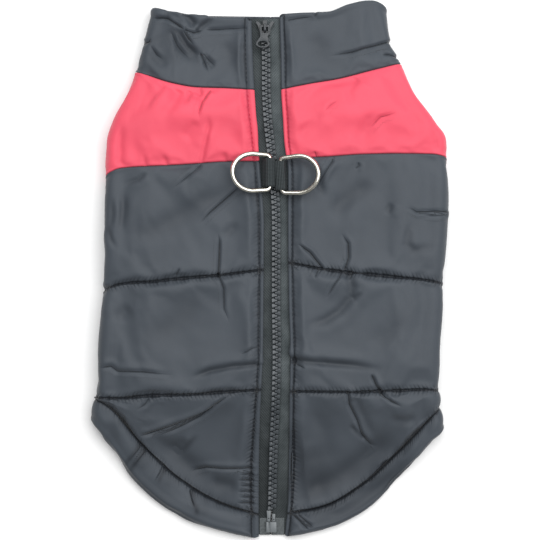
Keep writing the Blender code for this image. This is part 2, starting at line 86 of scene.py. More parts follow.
Section = namedtuple("Section", "along left left_edge zip right_edge right height")
SECTIONS = (
    Section(-181, -119.0, -7.6, 0.4, 9.6, 115.0, 4),
    Section(-155, -119.0, -7.8, 1.2, 11.7, 115.0, 4),
    Section(-125, -119.0, -7.5, 1.9, 12.2, 115.0, 8),
    Section(-100, -119.0, -6.9, 2.9, 12.4, 114.8, 15),
    Section(-80, -117.8, -6.0, 3.7, 12.6, 113.8, 19.5),
    Section(-55, -116.0, -4.8, 4.2, 13.0, 113.8, 20),
    Section(-20, -113.4, -4.5, 3.7, 12.0, 116.2, 20),
    Section(30, -111.4, -4.2, 3.8, 11.4, 118.2, 20),
    Section(64, -111.6, -6.6, 2.1, 11.4, 119.6, 20),
    Section(86, -109.6, -8.2, -0.3, 9.0, 118.0, 20),
    Section(100, -105.0, -9.2, -1.8, 8.2, 110.0, 20),
    Section(120, -95.6, -10.5, -2.8, 7.0, 97.0, 18.5),
    Section(140, -89.8, -11.7, -2.9, 6.7, 87.8, 17),
    Section(154, -85.6, -12.2, -3.4, 6.3, 81.4, 17),
    Section(165, -83.0, -12.4, -3.8, 6.0, 79.6, 17),
    Section(180, -79.2, -12.4, -3.8, 6.0, 78.2, 17),
)
ALONG = [section.along for section in SECTIONS]

# Round the coat, u counts from the zip: 0 at the folded edge beside it, 1 where the side begins to roll,
# 1.5 at the outline, 2 where the roll reaches the floor, 3 at the belly seam and 4 under the throat.
ROUND = (0, 0.25, 0.5, 0.75, 1, 1.5, 2, 3, 4)
WAY_ROUND = (0, 25.5, 51, 76.5, 102, 114, 126, 178, 235)  # about how far round the cloth each of them is
BELLY_SEAM = 57.0
Seam = namedtuple("Seam", "at_zip quarter half three_quarters at_roll at_side under at_belly at_throat")
COLLAR_TOP = {
    LEFT: Seam(168.4, 168.2, 169.2, 171.4, 174.0, 176.0, 175.0, 172.5, 171.6),
    RIGHT: Seam(170.8, 171.4, 172.6, 177.2, 179.9, 176.0, 173.0, 171.6, 171.6),
}
COLLAR_SEAM = {
    LEFT: Seam(120.0, 121.0, 121.6, 124.5, 129.8, 132.6, 133.0, 129.0, 124.0),
    RIGHT: Seam(120.2, 124.0, 127.2, 131.6, 136.0, 138.0, 137.0, 130.0, 124.0),
}
YOKE_SEAM = {
    LEFT: Seam(72.2, 71.8, 70.2, 69.0, 67.6, 62.0, 58.0, 54.0, 54.0),
    RIGHT: Seam(74.2, 75.0, 76.6, 77.2, 77.0, 74.5, 70.0, 66.0, 66.0),
}
FIRST_QUILTING = {
    LEFT: Seam(0.0, -2.8, -5.2, -7.6, -10.0, -15.0, -16.0, -16.0, -16.0),
    RIGHT: Seam(4.8, 0.7, -2.2, -4.7, -7.2, -10.0, -12.0, -13.0, -13.0),
}
SECOND_QUILTING = {
    LEFT: Seam(-79.8, -81.3, -82.9, -84.0, -85.5, -85.0, -81.0, -80.0, -80.0),
    RIGHT: Seam(-81.0, -81.0, -81.0, -80.2, -79.8, -80.7, -80.0, -80.0, -80.0),
}
HEM_SEAM = {
    LEFT: Seam(-165.5, -156.5, -140.4, -117.0, -91.5, -86.0, -86.0, -88.0, -88.0),
    RIGHT: Seam(-165.0, -159.5, -145.5, -123.5, -101.0, -92.0, -89.0, -88.0, -88.0),
}
HEM_EDGE = {
    LEFT: Seam(-182.0, -176.2, -164.4, -143.8, -114.2, -103.0, -100.5, -100.0, -100.0),
    RIGHT: Seam(-181.0, -176.3, -164.6, -142.2, -116.8, -109.0, -104.0, -100.0, -100.0),
}


def through(stations, values, at):
    """Reads the smooth curve through values at rising stations; it never overshoots them."""
    stations, values = np.asarray(stations, float), np.asarray(values, float)
    rises = np.diff(values) / np.diff(stations)
    before, after = np.append(rises[0], rises), np.append(rises, rises[-1])
    same = before * after > 0
    slopes = np.where(same, 2 * before * after / np.where(same, before + after, 1), 0)
    k = np.clip(np.searchsorted(stations, at, "right") - 1, 0, len(stations) - 2)
    span = stations[k + 1] - stations[k]
    t = np.clip((at - stations[k]) / span, 0, 1)
    ease = t * t * (3 - 2 * t)
    bend = span * t * (1 - t) * ((1 - t) * slopes[k] - t * slopes[k + 1])
    return values[k] * (1 - ease) + values[k + 1] * ease + bend


def section_at(along):
    """The section at a place along the coat, or the arrays of many."""
    columns = list(zip(*SECTIONS))[1:]
    return Section(along, *(through(ALONG, values, along) for values in columns))


def seam_at(seam, side, u):
    """Where a seam lies along the coat, at u round it."""
    return through(WAY_ROUND, seam[side], np.interp(u, ROUND, WAY_ROUND))


# The folded edge beside the zip is not equally wide everywhere: its width at places along the coat.
LIP_WIDTH = {
    LEFT: ((-181, -140, -100, -60, 60, 72, 118, 165), (5.0, 5.0, 3.4, 2.7, 3.0, 3.3, 4.9, 4.4)),
    RIGHT: ((-181, -60, 60, 165), (2.5, 2.5, 2.8, 2.9)),
}


def half_at(side, along):
    """How far from the middle one half's folded edge is, where its side begins to roll, and its radius."""
    section = section_at(along)
    radius = section.height / 2
    reach = section.right if side == RIGHT else -section.left
    edge = section.right_edge if side == RIGHT else -section.left_edge
    return edge, reach - SIDE_LOFT - radius, radius


def cloth_points(side, u, along, rise):
    """Points in millimetres at a rise above the seams' level, for arrays of u, along and rise."""
    edge, roll, radius = half_at(side, along)
    turn = math.pi * np.clip(u - 1, 0, 1)
    out_x, out_z = np.sin(turn), np.cos(turn)
    top_x = edge + np.clip(u, 0, 1) * (roll - edge)
    roll_x = roll + radius * out_x
    under_x = roll + (u - 2) * (BELLY_SEAM - roll)
    throat_x = THROAT_GAP + (4 - u) * (BELLY_SEAM - THROAT_GAP)
    x = np.select([u <= 1, u <= 2, u <= 3], [top_x, roll_x, under_x], throat_x)
    z = radius + radius * out_z
    # The side rounds over softly: the cloth sinks a little before it rolls.
    width = np.where(u < ROUNDING_AT, ROUNDING_BEFORE, ROUNDING_AFTER)
    rise = rise - ROUNDING * np.exp(-(((u - ROUNDING_AT) / width) ** 2))
    return np.stack([side * (x + rise * out_x), along, z + rise * out_z], -1)


# ------------------------------------------------------------------------------
# Nylon taffeta, plain woven of flat filament yarn and calendered: smooth, a little glossy, with a soft
# sheen. Its yarns, 0.2 mm apart, are drawn 0.7 mm apart so that they show. Along every line of stitches
# the cloth is puckered, and shade is painted into its colour: along the needle lines, beside the seams,
# in the puckers, on the lines of sharp folds and at the foot of broad ones.
# ------------------------------------------------------------------------------
YARN_PITCH = 0.7 * MM
PUCKER_PITCH = 2.6 * MM
PUCKER_REACH = 6.0 * MM
FOLD_LINE = 0.65 * MM
CRINKLE_SIZE = 9.0 * MM
WAVE_TURN = 2 * math.pi / 20  # a wave texture of scale 1 repeats after this length


def linear(code):
    """An sRGB hex colour as linear red, green, blue and alpha."""
    parts = [int(code[i : i + 2], 16) / 255 for i in (0, 2, 4)]
    return (*(c / 12.92 if c <= 0.04045 else ((c + 0.055) / 1.055) ** 2.4 for c in parts), 1)


def between_colours(material, share, deep, light):
    """The colour at a share of the way from one hex colour to another."""
    ends = {0: share, 6: linear(deep), 7: linear(light)}
    return add_node(material, "Mix", ends, data_type="RGBA").outputs[2]


def set_surface(material, looks):
    """Sets inputs of a new material's surface by name."""
    material.use_nodes = True
    for name, value in looks.items():
        material.node_tree.nodes["Principled BSDF"].inputs[name].default_value = value


def colour_surface(material, colours):
    """Links colours to the surface of a material."""
    surface = material.node_tree.nodes["Principled BSDF"]
    material.node_tree.links.new(colours, surface.inputs["Base Color"])


def relieve_surface(material, *layers, strength=1.0):
    """Gives a surface its relief: each layer is a height and how deep it is, or less than 0 to turn it."""
    surface = material.node_tree.nodes["Principled BSDF"]
    below = {}
    for height, depth in layers:
        links = {0: strength, 1: abs(depth), 3: height, **below}
        below = {4: add_node(material, "Bump", links, invert=depth < 0).outputs[0]}
    material.node_tree.links.new(below[4], surface.inputs["Normal"])


def add_node(material, kind, links=(), **settings):
    """Adds a node: its settings by name, and its inputs by number, each a value or a socket to link."""
    node = material.node_tree.nodes.new("ShaderNode" + kind)
    for name, value in settings.items():
        setattr(node, name, value)
    for place, value in dict(links).items():
        if isinstance(value, bpy.types.NodeSocket):
            material.node_tree.links.new(value, node.inputs[place])
        else:
            node.inputs[place].default_value = value
    return node


def calculate(material, operation, *values, **settings):
    """The outcome of a sum with values or sockets."""
    links = dict(enumerate(values))
    return add_node(material, "Math", links, operation=operation, **settings).outputs[0]


def ramp(material, value, given, wanted=(0, 1), smooth=False):
    """Maps a given range of a value to a wanted one, and stops at its ends."""
    links = dict(enumerate((value, *given, *wanted)))
    shape = "SMOOTHSTEP" if smooth else "LINEAR"
    return add_node(material, "MapRange", links, interpolation_type=shape).outputs[0]


def noise(material, place, scale, detail):
    """Cloudy noise, its scale in clouds to a metre."""
    return add_node(material, "TexNoise", {0: place, 2: scale, 3: detail}).outputs[0]


def bands(material, place, pitch, waver, way="X"):
    """Bands at a pitch across one way, a little wavering."""
    links = {0: place, 1: WAVE_TURN / pitch, 2: waver}
    return add_node(material, "TexWave", links, bands_direction=way).outputs[1]


def cloud_surface(material, scale, detail, given, deep, light):
    """Colours a surface in clouds between two hex colours. Returns the clouds."""
    clouds = noise(material, add_node(material, "TexCoord").outputs["Object"], scale, detail)
    colour_surface(material, between_colours(material, ramp(material, clouds, given), deep, light))
    return clouds


def woven_nylon(name, dye, shade, roughness):
    """The material of a shell: its colour, and the colour of the shade painted along needle lines, beside
    seams, in puckers and in folds.
    """
    cloth = bpy.data.materials.new(name)
    set_surface(cloth, {
        "Roughness": roughness,
        "Specular IOR Level": 0.3,
        "Sheen Weight": 0.12,
        "Sheen Roughness": 0.45,
    })
    lay = add_node(cloth, "Attribute", attribute_name="lay").outputs["Vector"]
    stitching = add_node(cloth, "Attribute", attribute_name="stitching").outputs["Vector"]
    run, reach, pull = add_node(cloth, "SeparateXYZ", {0: stitching}).outputs
    pull = calculate(cloth, "DIVIDE", pull, MM)
    folded = add_node(cloth, "Attribute", attribute_name="folded").outputs["Vector"]
    beside, depth, valley_painted_shade = add_node(cloth, "SeparateXYZ", {0: folded}).outputs

    # Puckers: slanting grooves at uneven strength, one to each stitch or two, that fade from the line. They
    # dent the relief and are painted in shade as well.
    near = ramp(cloth, reach, (0, PUCKER_REACH), (1.0, 0.0))
    near = calculate(cloth, "POWER", near, 2.2)
    slant = calculate(cloth, "MULTIPLY_ADD", reach, 0.5, run)
    slanted = add_node(cloth, "CombineXYZ", {0: slant}).outputs[0]
    each = add_node(cloth, "TexWave", {0: slanted, 1: WAVE_TURN / PUCKER_PITCH, 2: 1.6, 3: 1.0}).outputs[1]
    each = calculate(cloth, "POWER", each, 2.5)
    along = add_node(cloth, "CombineXYZ", {0: run}).outputs[0]
    uneven = noise(cloth, along, 160.0, 1.0)
    uneven = ramp(cloth, uneven, (0.35, 0.6), (0.3, 1.0))
    puckers = calculate(cloth, "MULTIPLY", each, near)
    puckers = calculate(cloth, "MULTIPLY", puckers, uneven)
    puckers = calculate(cloth, "MULTIPLY", puckers, pull)

    # Painted shade along the needle line, wider where the stitches pull more, and on the lines of the sharp
    # folds.
    wide = calculate(cloth, "MULTIPLY_ADD", uneven, 0.9, 0.45)
    reach = calculate(cloth, "DIVIDE", reach, wide)
    needle = ramp(cloth, reach, (0.2 * MM, 1.3 * MM), (0.9, 0.0), smooth=True)
    strong = calculate(cloth, "MULTIPLY_ADD", pull, 0.45, 0.5)
    needle = calculate(cloth, "MULTIPLY", needle, strong)
    beside = calculate(cloth, "ABSOLUTE", beside)
    line = ramp(cloth, beside, (0.05 * MM, FOLD_LINE), (1.0, 0.0), smooth=True)
    line = calculate(cloth, "MULTIPLY", line, depth)
    creased = calculate(cloth, "MAXIMUM", line, puckers)
    painted_shade = calculate(cloth, "MULTIPLY", creased, 0.6)
    painted_shade = calculate(cloth, "MAXIMUM", painted_shade, needle)
    # Painted shade within 4.5 mm of every line of stitches, added to the painted shade at the foot of broad
    # folds.
    painted_seam_shade = ramp(cloth, reach, (0, 4.5 * MM), (0.24, 0.0), smooth=True)
    valley_painted_shade = calculate(cloth, "ADD", valley_painted_shade, painted_seam_shade)
    painted_shade = calculate(cloth, "ADD", painted_shade, valley_painted_shade, use_clamp=True)

    crinkles = noise(cloth, lay, 1 / CRINKLE_SIZE, 3.0)
    warp, weft = (bands(cloth, lay, YARN_PITCH, 0.4, way) for way in "XY")
    weave = calculate(cloth, "ADD", warp, weft)
    relieve_surface(cloth, (weave, 0.03 * MM), (crinkles, 0.13 * MM), (creased, -0.6 * MM))
    uneven_tone = noise(cloth, lay, 22.0, 4.0)
    worn = ramp(cloth, uneven_tone, (0.3, 0.7), (0.94, 1.06))
    # The dye darkened towards the colour of the painted shade.
    dyed = between_colours(cloth, painted_shade, dye, shade)
    dyed = add_node(cloth, "VectorMath", {0: dyed, 3: worn}, operation="SCALE").outputs[0]
    colour_surface(cloth, dyed)
    return cloth


# Dark blue grey, and the red of the yoke, each with the colour of its painted shade: both catch the light
# softly on their crowns.
quilted_nylon = woven_nylon("quilted_nylon_taffeta", "3e444b", "0f141b", 0.56)
red_nylon = woven_nylon("red_nylon_taffeta", "de4f63", "a82c44", 0.56)

# ------------------------------------------------------------------------------
# How each panel is made: its shell is a close grid of points round the coat, sewn down at its seams, at
# its quilting and at the folded edge beside the zip. It is blown up from inside as cloth, as the wadding
# fills it, and gets its lining and its edges. Folds are then pressed into it where the real coat has them.
# ------------------------------------------------------------------------------
SEAM_SINK = 1.5  # how far the shell is drawn in where it is sewn through
JOIN_SINK = 0.5  # and where it is only joined to the next panel
SIDE_FULLNESS = 1.2  # how far the shell still stands out at a seam where it rolls round the side
JOIN_GAP = 0.03  # between the panels at a seam
SEAM_SHOULDER = 0.75  # from a needle line to where the cloth has come up again
CORNER = 1.6  # how far a free edge is rounded off where it meets the folded edge
START_LOFT = 0.5  # the share of the loft before the cloth is blown up
SETTLING = 18  # the frames in which the cloth fills out
SMOOTHINGS = 10  # how far the wadding evens out the blown-up cloth
LINING_STEP = 4  # the lining has one row or column for so many of the shell's
FAR_OFF = 20.0  # from a needle or a fold, where neither shows any more
SKIN_TO = 1.9  # u beyond which the shell isn't pressed into folds
SEAM_PULL = 0.6  # how hard a seam puckers the cloth, where a line of quilting has 1
RUNS_APART = 31  # so that the puckers of two lines aren't alike

# The light nylon as Blender's cloth knows it: stiff, and cut a little full, as its shrinking is negative.
NYLON = {
    "quality": 5, "mass": 0.2, "tension_stiffness": 15, "compression_stiffness": 15,
    "shear_stiffness": 5, "bending_stiffness": 0.3, "shrink_min": -0.012,
}

# The folded edge beside the zip, from under the fold, round it and over its flat top to the topstitching,
# each place by its share of the folded edge's width.
Lip = namedtuple("Lip", "share rise")
LIP = (
    Lip(1.0, -FOLDED_EDGE),
    Lip(0.4, -FOLDED_EDGE),
    Lip(0.08, -1.7),
    Lip(0.0, -1.0),
    Lip(0.08, -0.35),
    Lip(0.33, 0.15),
    Lip(0.7, 0.15),
    Lip(1.0, -1.1),
)
LIP_U = 0.03  # the topstitching's place where a seam's line is read
TOPSTITCHING = len(LIP) - 1
TOP_COLUMNS = np.concatenate([[0.038, 0.05], np.linspace(0.065, 1, 58)])
ROLL_COLUMNS = np.linspace(1, 2, 17)[1:]
UNDER_COLUMNS = np.append(np.linspace(2, 3, 17)[1:-1], (2.985, 3))
THROAT_COLUMNS = np.append(np.linspace(3, 4, 16)[1:-1], (3.985, 4))
HALF_ROUND = np.concatenate([[LIP_U * lip.share for lip in LIP], TOP_COLUMNS, ROLL_COLUMNS, UNDER_COLUMNS])
ALL_ROUND = np.concatenate([HALF_ROUND, THROAT_COLUMNS])

Row = namedtuple("Row", "along rise held needle")


def channel(side, columns, upper, lower, steps, loft, needles=(False, False)):
    """The rows of one channel, from one seam to the next. Needles says which of the two puckers."""
    top, foot = seam_at(upper, side, columns), seam_at(lower, side, columns)
    length = np.abs(top - foot)
    shoulder = np.minimum(SEAM_SHOULDER, 0.2 * length) / np.maximum(length, 0.1)
    beside_zip = np.clip((columns - LIP_U) / 0.07, 0, 1) ** 0.6
    below = 1 - np.clip((columns - 1.35) / 0.6, 0, 1) ** 1.5
    full_here = START_LOFT * loft * beside_zip * below
    spread = np.linspace(0, 1, steps + 1)
    shares = 0.6 * spread + 0.4 * (0.5 - 0.5 * np.cos(math.pi * spread))
    rows = []
    for step, share in enumerate(shares):
        if step in (0, steps):
            needle = needles[0 if step == 0 else 1]
            side_on = np.clip((columns - 0.9) / 0.4, 0, 1)
            rise = side_on * SIDE_FULLNESS * below - (1 - side_on) * (SEAM_SINK if needle else JOIN_SINK)
            rows.append(Row((top, foot)[step > 0], rise, True, needle))
        else:
            share = shoulder + share * (1 - 2 * shoulder)
            rise = full_here * math.sin(math.pi * shares[step]) ** 0.4
            rows.append(Row((1 - share) * top + share * foot, rise, False, False))
    low = np.maximum(full_here * 0.25 - 0.15, np.clip((columns - 0.9) / 0.4, 0, 1) * SIDE_FULLNESS * below)
    shoulders = [
        Row((1 - share) * top + share * foot, low, False, False)
        for share in (shoulder, 1 - shoulder)
    ]
    return [rows[0], shoulders[0], *rows[1:-1], shoulders[1], rows[-1]]


def rolled_edge(side, columns, edge, way, thick, steps, deep=None):
    """Rows round a free edge: up over it and down to the lining, half an ellipse in section."""
    rows = []
    place = seam_at(edge, side, columns)
    place = place - way * CORNER * np.clip(1 - columns / LIP_U, 0, 1) ** 2
    for turn in np.linspace(0.15, 1, steps) * math.pi:
        along = place - way * (1 - math.sin(turn)) * (deep if deep and turn < math.pi / 2 else thick / 2)
        rise = (thick / 2 - WALL) + thick / 2 * math.cos(turn) + np.zeros(len(columns))
        rows.append(Row(along, rise, turn > 0.9 * math.pi, False))
    return rows


def as_mesh(name, points, faces):
    """A new object from points in millimetres."""
    data = bpy.data.meshes.new(name)
    data.from_pydata((np.asarray(points) * MM).tolist(), [], [list(map(int, face)) for face in faces])
    return add_object(name, data)


def face_outward(piece):
    """Turns the faces of a closed piece outward."""
    bm = bmesh.new()
    bm.from_mesh(piece.data)
    bmesh.ops.recalc_face_normals(bm, faces=bm.faces)
    bm.to_mesh(piece.data)
    bm.free()


def note(piece, **vectors):
    """Stores vectors for each point of a piece, for its material to read by name."""
    for name, values in vectors.items():
        store = piece.data.attributes.new(name, "FLOAT_VECTOR", "POINT")
        store.data.foreach_set("vector", values.ravel())


def grid_faces(rows, columns, first=0):
    """The faces between the points of a grid, whose first point has the number first."""
    corner = first + np.arange(rows - 1)[:, None] * columns + np.arange(columns - 1)
    return np.stack([corner, corner + 1, corner + columns + 1, corner + columns], -1).reshape(-1, 4)


def border(rows, columns):
    """The numbers of the points round the edge of a grid, in turn."""
    index = np.arange(rows * columns).reshape(rows, columns)
    return np.concatenate([index[0, :-1], index[:-1, -1], index[-1, :0:-1], index[:0:-1, 0]])


def read(store, what, numbers=3):
    """What a mesh stores for each of its points: an array of three numbers each, or of one."""
    values = np.empty(len(store) * numbers)
    store.foreach_get(what, values)
    return values.reshape(-1, numbers) if numbers > 1 else values


def places_of(piece):
    """Where the points of a piece are, in millimetres."""
    return read(piece.data.vertices, "co") / MM


def put(piece, place):
    """Moves a piece modelled in millimetres to its place, and makes it as large in metres."""
    piece.data.transform(Matrix.Translation(place))
    piece.data.transform(Matrix.Diagonal((MM, MM, MM, 1)))


def move_points(piece, places):
    """Moves each point of a piece to its place in millimetres."""
    piece.data.vertices.foreach_set("co", (places * MM).ravel())
    piece.data.update()


def apply_modifier(piece, kind, **settings):
    """Adds a modifier and applies it."""
    bpy.ops.object.select_all(action="DESELECT")
    bpy.context.view_layer.objects.active = piece
    piece.select_set(True)
    added = piece.modifiers.new(kind.lower(), kind)
    for name, value in settings.items():
        setattr(added, name, value)
    bpy.ops.object.modifier_apply(modifier=added.name)
    piece.select_set(False)


def block(name, *size):
    """A block of a size in millimetres, about the middle."""
    bpy.ops.mesh.primitive_cube_add(size=1)
    made = bpy.context.object
    made.name = name
    made.data.transform(Matrix.Diagonal((*size, 1)))
    return made


def round_edges(piece, width, angle, segments=2):
    """Rounds off the edges that turn by more than an angle in degrees."""
    apply_modifier(
        piece, "BEVEL", width=width, segments=segments, limit_method="ANGLE", angle_limit=math.radians(angle)
    )


def drill(piece, hole):
    """Cuts the shape of a hole out of a piece, and removes the shape."""
    apply_modifier(piece, "BOOLEAN", operation="DIFFERENCE", object=hole, solver="EXACT")
    bpy.data.objects.remove(hole)


def cover(piece, material):
    """Gives a piece its one material."""
    piece.data.materials.clear()
    piece.data.materials.append(material)


def clothe(piece, material):
    """Shades a piece smoothly, and gives it its material."""
    piece.data.shade_smooth()
    cover(piece, material)


def smooth_moulding(piece, material, sharp=40):
    """Shades a moulding smoothly but for its sharp edges, and gives it its material."""
    clothe(piece, material)
    piece.data.set_sharp_from_angle(angle=math.radians(sharp))


def take_apart(piece):
    """The points and the faces of a piece that is to be repeated, and is removed."""
    points = read(piece.data.vertices, "co")
    faces = [list(polygon.vertices) for polygon in piece.data.polygons]
    bpy.data.objects.remove(piece)
    return points, faces


def upright(ahead):
    """The direction square to a line that points most upwards."""
    return (Vector((0, 0, 1)) - ahead * ahead.z).normalized()


def copies(name, shape, faces, places):
    """One object of many copies of a shape. Each place has a turn, a middle and 1, or -1 if mirrored."""
    points = np.concatenate([shape @ turn + middle for turn, middle, way in places])
    all_faces = [
        [i * len(shape) + corner for corner in face][::way]
        for i, (turn, middle, way) in enumerate(places)
        for face in faces
    ]
    return as_mesh(name, points, all_faces)


def select_faces(piece, wanted):
    """Selects, in edit mode, the faces that are wanted."""
    bpy.ops.mesh.select_mode(type="FACE")
    bpy.ops.mesh.select_all(action="DESELECT")
    bm = bmesh.from_edit_mesh(piece.data)
    for face in bm.faces:
        face.select = wanted(face)
    bmesh.update_edit_mesh(piece.data)


def blown_up(name, points, faces, shape, held, pressure, most):
    """Fills a panel: cloth under pressure from inside, held where it is sewn, moving at most so far."""
    bag = as_mesh(name + "_bag", points, faces)
    group = bag.vertex_groups.new(name="sewn")
    group.add([int(i) for i in np.flatnonzero(held)], 1, "REPLACE")
    cloth = bag.modifiers.new("cloth", "CLOTH")
    for setting, value in NYLON.items():
        setattr(cloth.settings, setting, value)
    cloth.settings.vertex_group_mass = "sewn"
    cloth.settings.use_pressure = True
    cloth.settings.uniform_pressure_force = pressure
    cloth.settings.effector_weights.gravity = 0
    for step in range(SETTLING):
        bpy.context.scene.frame_set(step + 1)
    settled = bag.evaluated_get(bpy.context.evaluated_depsgraph_get())
    way = places_of(settled) - points
    # The wadding behind the cloth keeps it from small ripples away from its seams.
    rows, columns = shape
    free = ~held * np.minimum(1, np.abs(way).sum(1) / most)
    free = free.reshape(rows, columns, 1)
    spread = way.reshape(rows, columns, 3)
    for smoothing in range(SMOOTHINGS):
        padded = np.pad(spread, ((1, 1), (1, 1), (0, 0)), mode="edge")
        mean = (padded[:-2, 1:-1] + padded[2:, 1:-1] + padded[1:-1, :-2] + padded[1:-1, 2:]) / 4
        spread = spread + 0.5 * free * (mean - spread)
    way = spread.reshape(-1, 3)
    far = np.linalg.norm(way, axis=1, keepdims=True)
    bpy.data.objects.remove(bag)
    bpy.context.scene.frame_set(1)
    return points + way * np.minimum(1, most / np.maximum(far, 1e-9))


def spread_columns(side, columns, along):
    """Spreads a shell's columns from the folded edge, whose width is in millimetres, to the roll.

    Returns u for each point, and the folded edge's width in u."""
    edge, roll = half_at(side, along)[:2]
    lip_u = through(*LIP_WIDTH[side], along) / (roll - edge)
    spread = lip_u + (columns - LIP_U) / (1 - LIP_U) * (1 - lip_u)
    u = np.where(columns > 1, columns, np.where(columns > LIP_U, spread, columns / LIP_U * lip_u))
    return u, lip_u


def shell_and_lining(shell, lining):
    """The values of a shell's points, followed by those of its lining's."""
    return np.concatenate([shell.reshape(-1, 3), lining.reshape(-1, 3)])


def rim_faces(shape, inner_shape, keep):
    """The faces from the border of a shell to its lining's, which has the rows and columns to keep.

    Every point of the shell's border meets the nearest point of the lining's."""
    outer, inner = border(*shape), shape[0] * shape[1] + border(*inner_shape)
    row_of, column_of = np.divmod(outer, shape[1])
    marks = [i for i in range(len(outer)) if row_of[i] in keep[0] and column_of[i] in keep[1]]
    faces = []
    for i, mark in enumerate(marks):
        after = marks[(i + 1) % len(marks)]
        steps = (after - mark) % len(outer)
        a, b = inner[i], inner[(i + 1) % len(inner)]
        outs = [outer[(mark + j) % len(outer)] for j in range(steps + 1)]
        half = steps // 2
        faces += [(a, outs[j + 1], outs[j]) for j in range(half)] + [(a, b, outs[half])]
        faces += [(b, outs[j + 1], outs[j]) for j in range(half, steps)]
    return faces


def near_needles(side, columns, rows, across, along, pull):
    """For each point, the run along the nearest line of stitches, how far it is, and how hard it pulls."""
    reach, run, pulled = np.full(along.shape, 1e3), np.zeros(along.shape), np.ones(along.shape)
    for row in rows_of_needle(rows):
        slope = np.gradient(along[row]) / np.maximum(np.abs(np.gradient(across[row])), 0.05)
        gap = np.abs(along - along[row]) / np.hypot(1, slope)
        steps = np.diff(across[row], prepend=0), np.diff(along[row], prepend=along[row, 0])
        line = np.cumsum(np.hypot(*steps))
        run = np.where(gap < reach, line + RUNS_APART * row, run)
        pulled = np.where(gap < reach, SEAM_PULL if row in (0, len(rows) - 1) else 1.0, pulled)
        reach = np.minimum(reach, gap)
    gap = np.where(columns >= LIP_U, across * side - (across * side)[:, TOPSTITCHING, None], 4.0)
    pulled = np.where(gap < reach, through(*pull, along), pulled)
    run = np.where(gap < reach, along, run)
    return np.stack([run, np.minimum(reach, gap), pulled], -1)


def panel(name, node, cloth, side, columns, rows, pull, pressure=4.0, most=4.0):
    """One padded panel, closed, with its lining. Returns it and the shape of its shell's grid.

    Pull is how hard the topstitching puckers the cloth, at places along the coat; the quilting has 1."""
    lip = len(LIP)
    along = np.array([row.along for row in rows])
    rise = np.array([row.rise for row in rows])
    rise[:, :lip] = [place.rise for place in LIP]
    rise[:, -1] = -JOIN_SINK
    held = np.repeat([[row.held] for row in rows], len(columns), axis=1)
    held[:, :lip] = True
    held[:, columns > 1.95] = True
    held[0] = held[-1] = True
    shape = along.shape
    u, lip_u = spread_columns(side, columns, along)
    flat = cloth_points(side, u, along, 0 * rise)
    # The first and the last row leave half a gap to the next panel, also where the seam slants.
    for row, after in ((0, 1), (-1, -2)):
        run = np.hypot(np.gradient(flat[row, :, 0]), np.gradient(flat[row, :, 2]))
        slant = np.hypot(1, np.gradient(along[row]) / np.maximum(run, 0.05))
        along[row] += np.sign(along[after] - along[row]) * JOIN_GAP / 2 * slant
    points = cloth_points(side, u, along, rise).reshape(-1, 3)
    faces = grid_faces(*shape)
    middle = faces[len(faces) // 2 - shape[1] // 6]
    if np.cross(points[middle[1]] - points[middle[0]], points[middle[3]] - points[middle[0]])[2] < 0:
        faces = faces[:, ::-1]
    points = blown_up(name, points, faces, shape, held.ravel(), pressure, most)
    points[:, 2] = np.maximum(points[:, 2], 0)

    # The lining lies inside, level, and ends under the folded edge beside the zip.
    keep = [np.unique(np.append(np.arange(0, n, LINING_STEP), n - 1)) for n in shape]
    kept = np.ix_(*keep)
    inner_u = u.copy()
    inner_u[:, : lip + LINING_STEP] = np.linspace(lip_u[:, 0], u[:, lip + LINING_STEP], lip + LINING_STEP).T
    inner_u = inner_u[kept]
    depth = np.full(inner_u.shape, -WALL + 0.1)
    depth[:, 0] = -FOLDED_EDGE - 0.1
    lining = cloth_points(side, inner_u, along[kept], depth)
    inner_shape = lining.shape[:2]
    faces = [*faces, *grid_faces(*inner_shape, len(points)), *rim_faces(shape, inner_shape, keep)]
    made = as_mesh(name, shell_and_lining(points, lining), faces)
    face_outward(made)

    # What its cloth and its folds need to know of each point.
    steps = np.linalg.norm(np.diff(flat, axis=1, prepend=flat[:, :1]), axis=2)
    across = side * np.cumsum(steps, axis=1)
    from_seam = np.minimum(np.abs(along - along[0]), np.abs(along - along[-1]))
    for attribute, values in (("skin", np.where(u < SKIN_TO, 1.0, 0.0)), ("from_seam", from_seam)):
        store = made.data.attributes.new(attribute, "FLOAT", "POINT")
        store.data.foreach_set("value", np.append(values.ravel(), np.zeros(inner_u.size)))
    lay = np.stack([across, along, 0 * u], -1) * MM
    stitching = near_needles(side, columns, rows, across, along, pull) * MM
    note(
        made,
        lay=shell_and_lining(lay, lay[kept]),
        stitching=shell_and_lining(stitching, stitching[kept] + (0, FAR_OFF * MM, 0)),
        folded=np.tile((FAR_OFF * MM, 0.0, 0.0), (len(made.data.vertices), 1)),
    )
    clothe(made, cloth)
    apply_modifier(made, "SUBSURF", levels=1, render_levels=1)
    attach(made, "root")
    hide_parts(node)
    return made, shape


def rows_of_needle(rows):
    """The numbers of the rows that a needle has run along."""
    return [i for i, row in enumerate(rows) if row.needle]


# A fold has the width and the depth of its groove and the lift of the swell beside it, in millimetres, the
# shares of its length over which it fades in and out, and the points of its line from above.
Fold = namedtuple("Fold", "width depth lift fades points")
SHARP_FOLD = 1.5  # a fold narrower than this is drawn as a line of painted shade,
DARK_FOLD = 1.4  # which is as dark as any when it is this deep
SWELL_AT, SWELL_WIDTH = 2.2, 1.6  # times the width of the groove
REACH_OF_FOLD = 5  # times its width
PUCKER_DEPTH, PUCKER_FADES = 0.6, 2.4
PAINTED_VALLEY_SHADE = 0.12  # painted shade for each millimetre of depth, as little light reaches the foot of a broad fold,
NARROW_FOLD = 4.0  # and less still where it is narrower than this


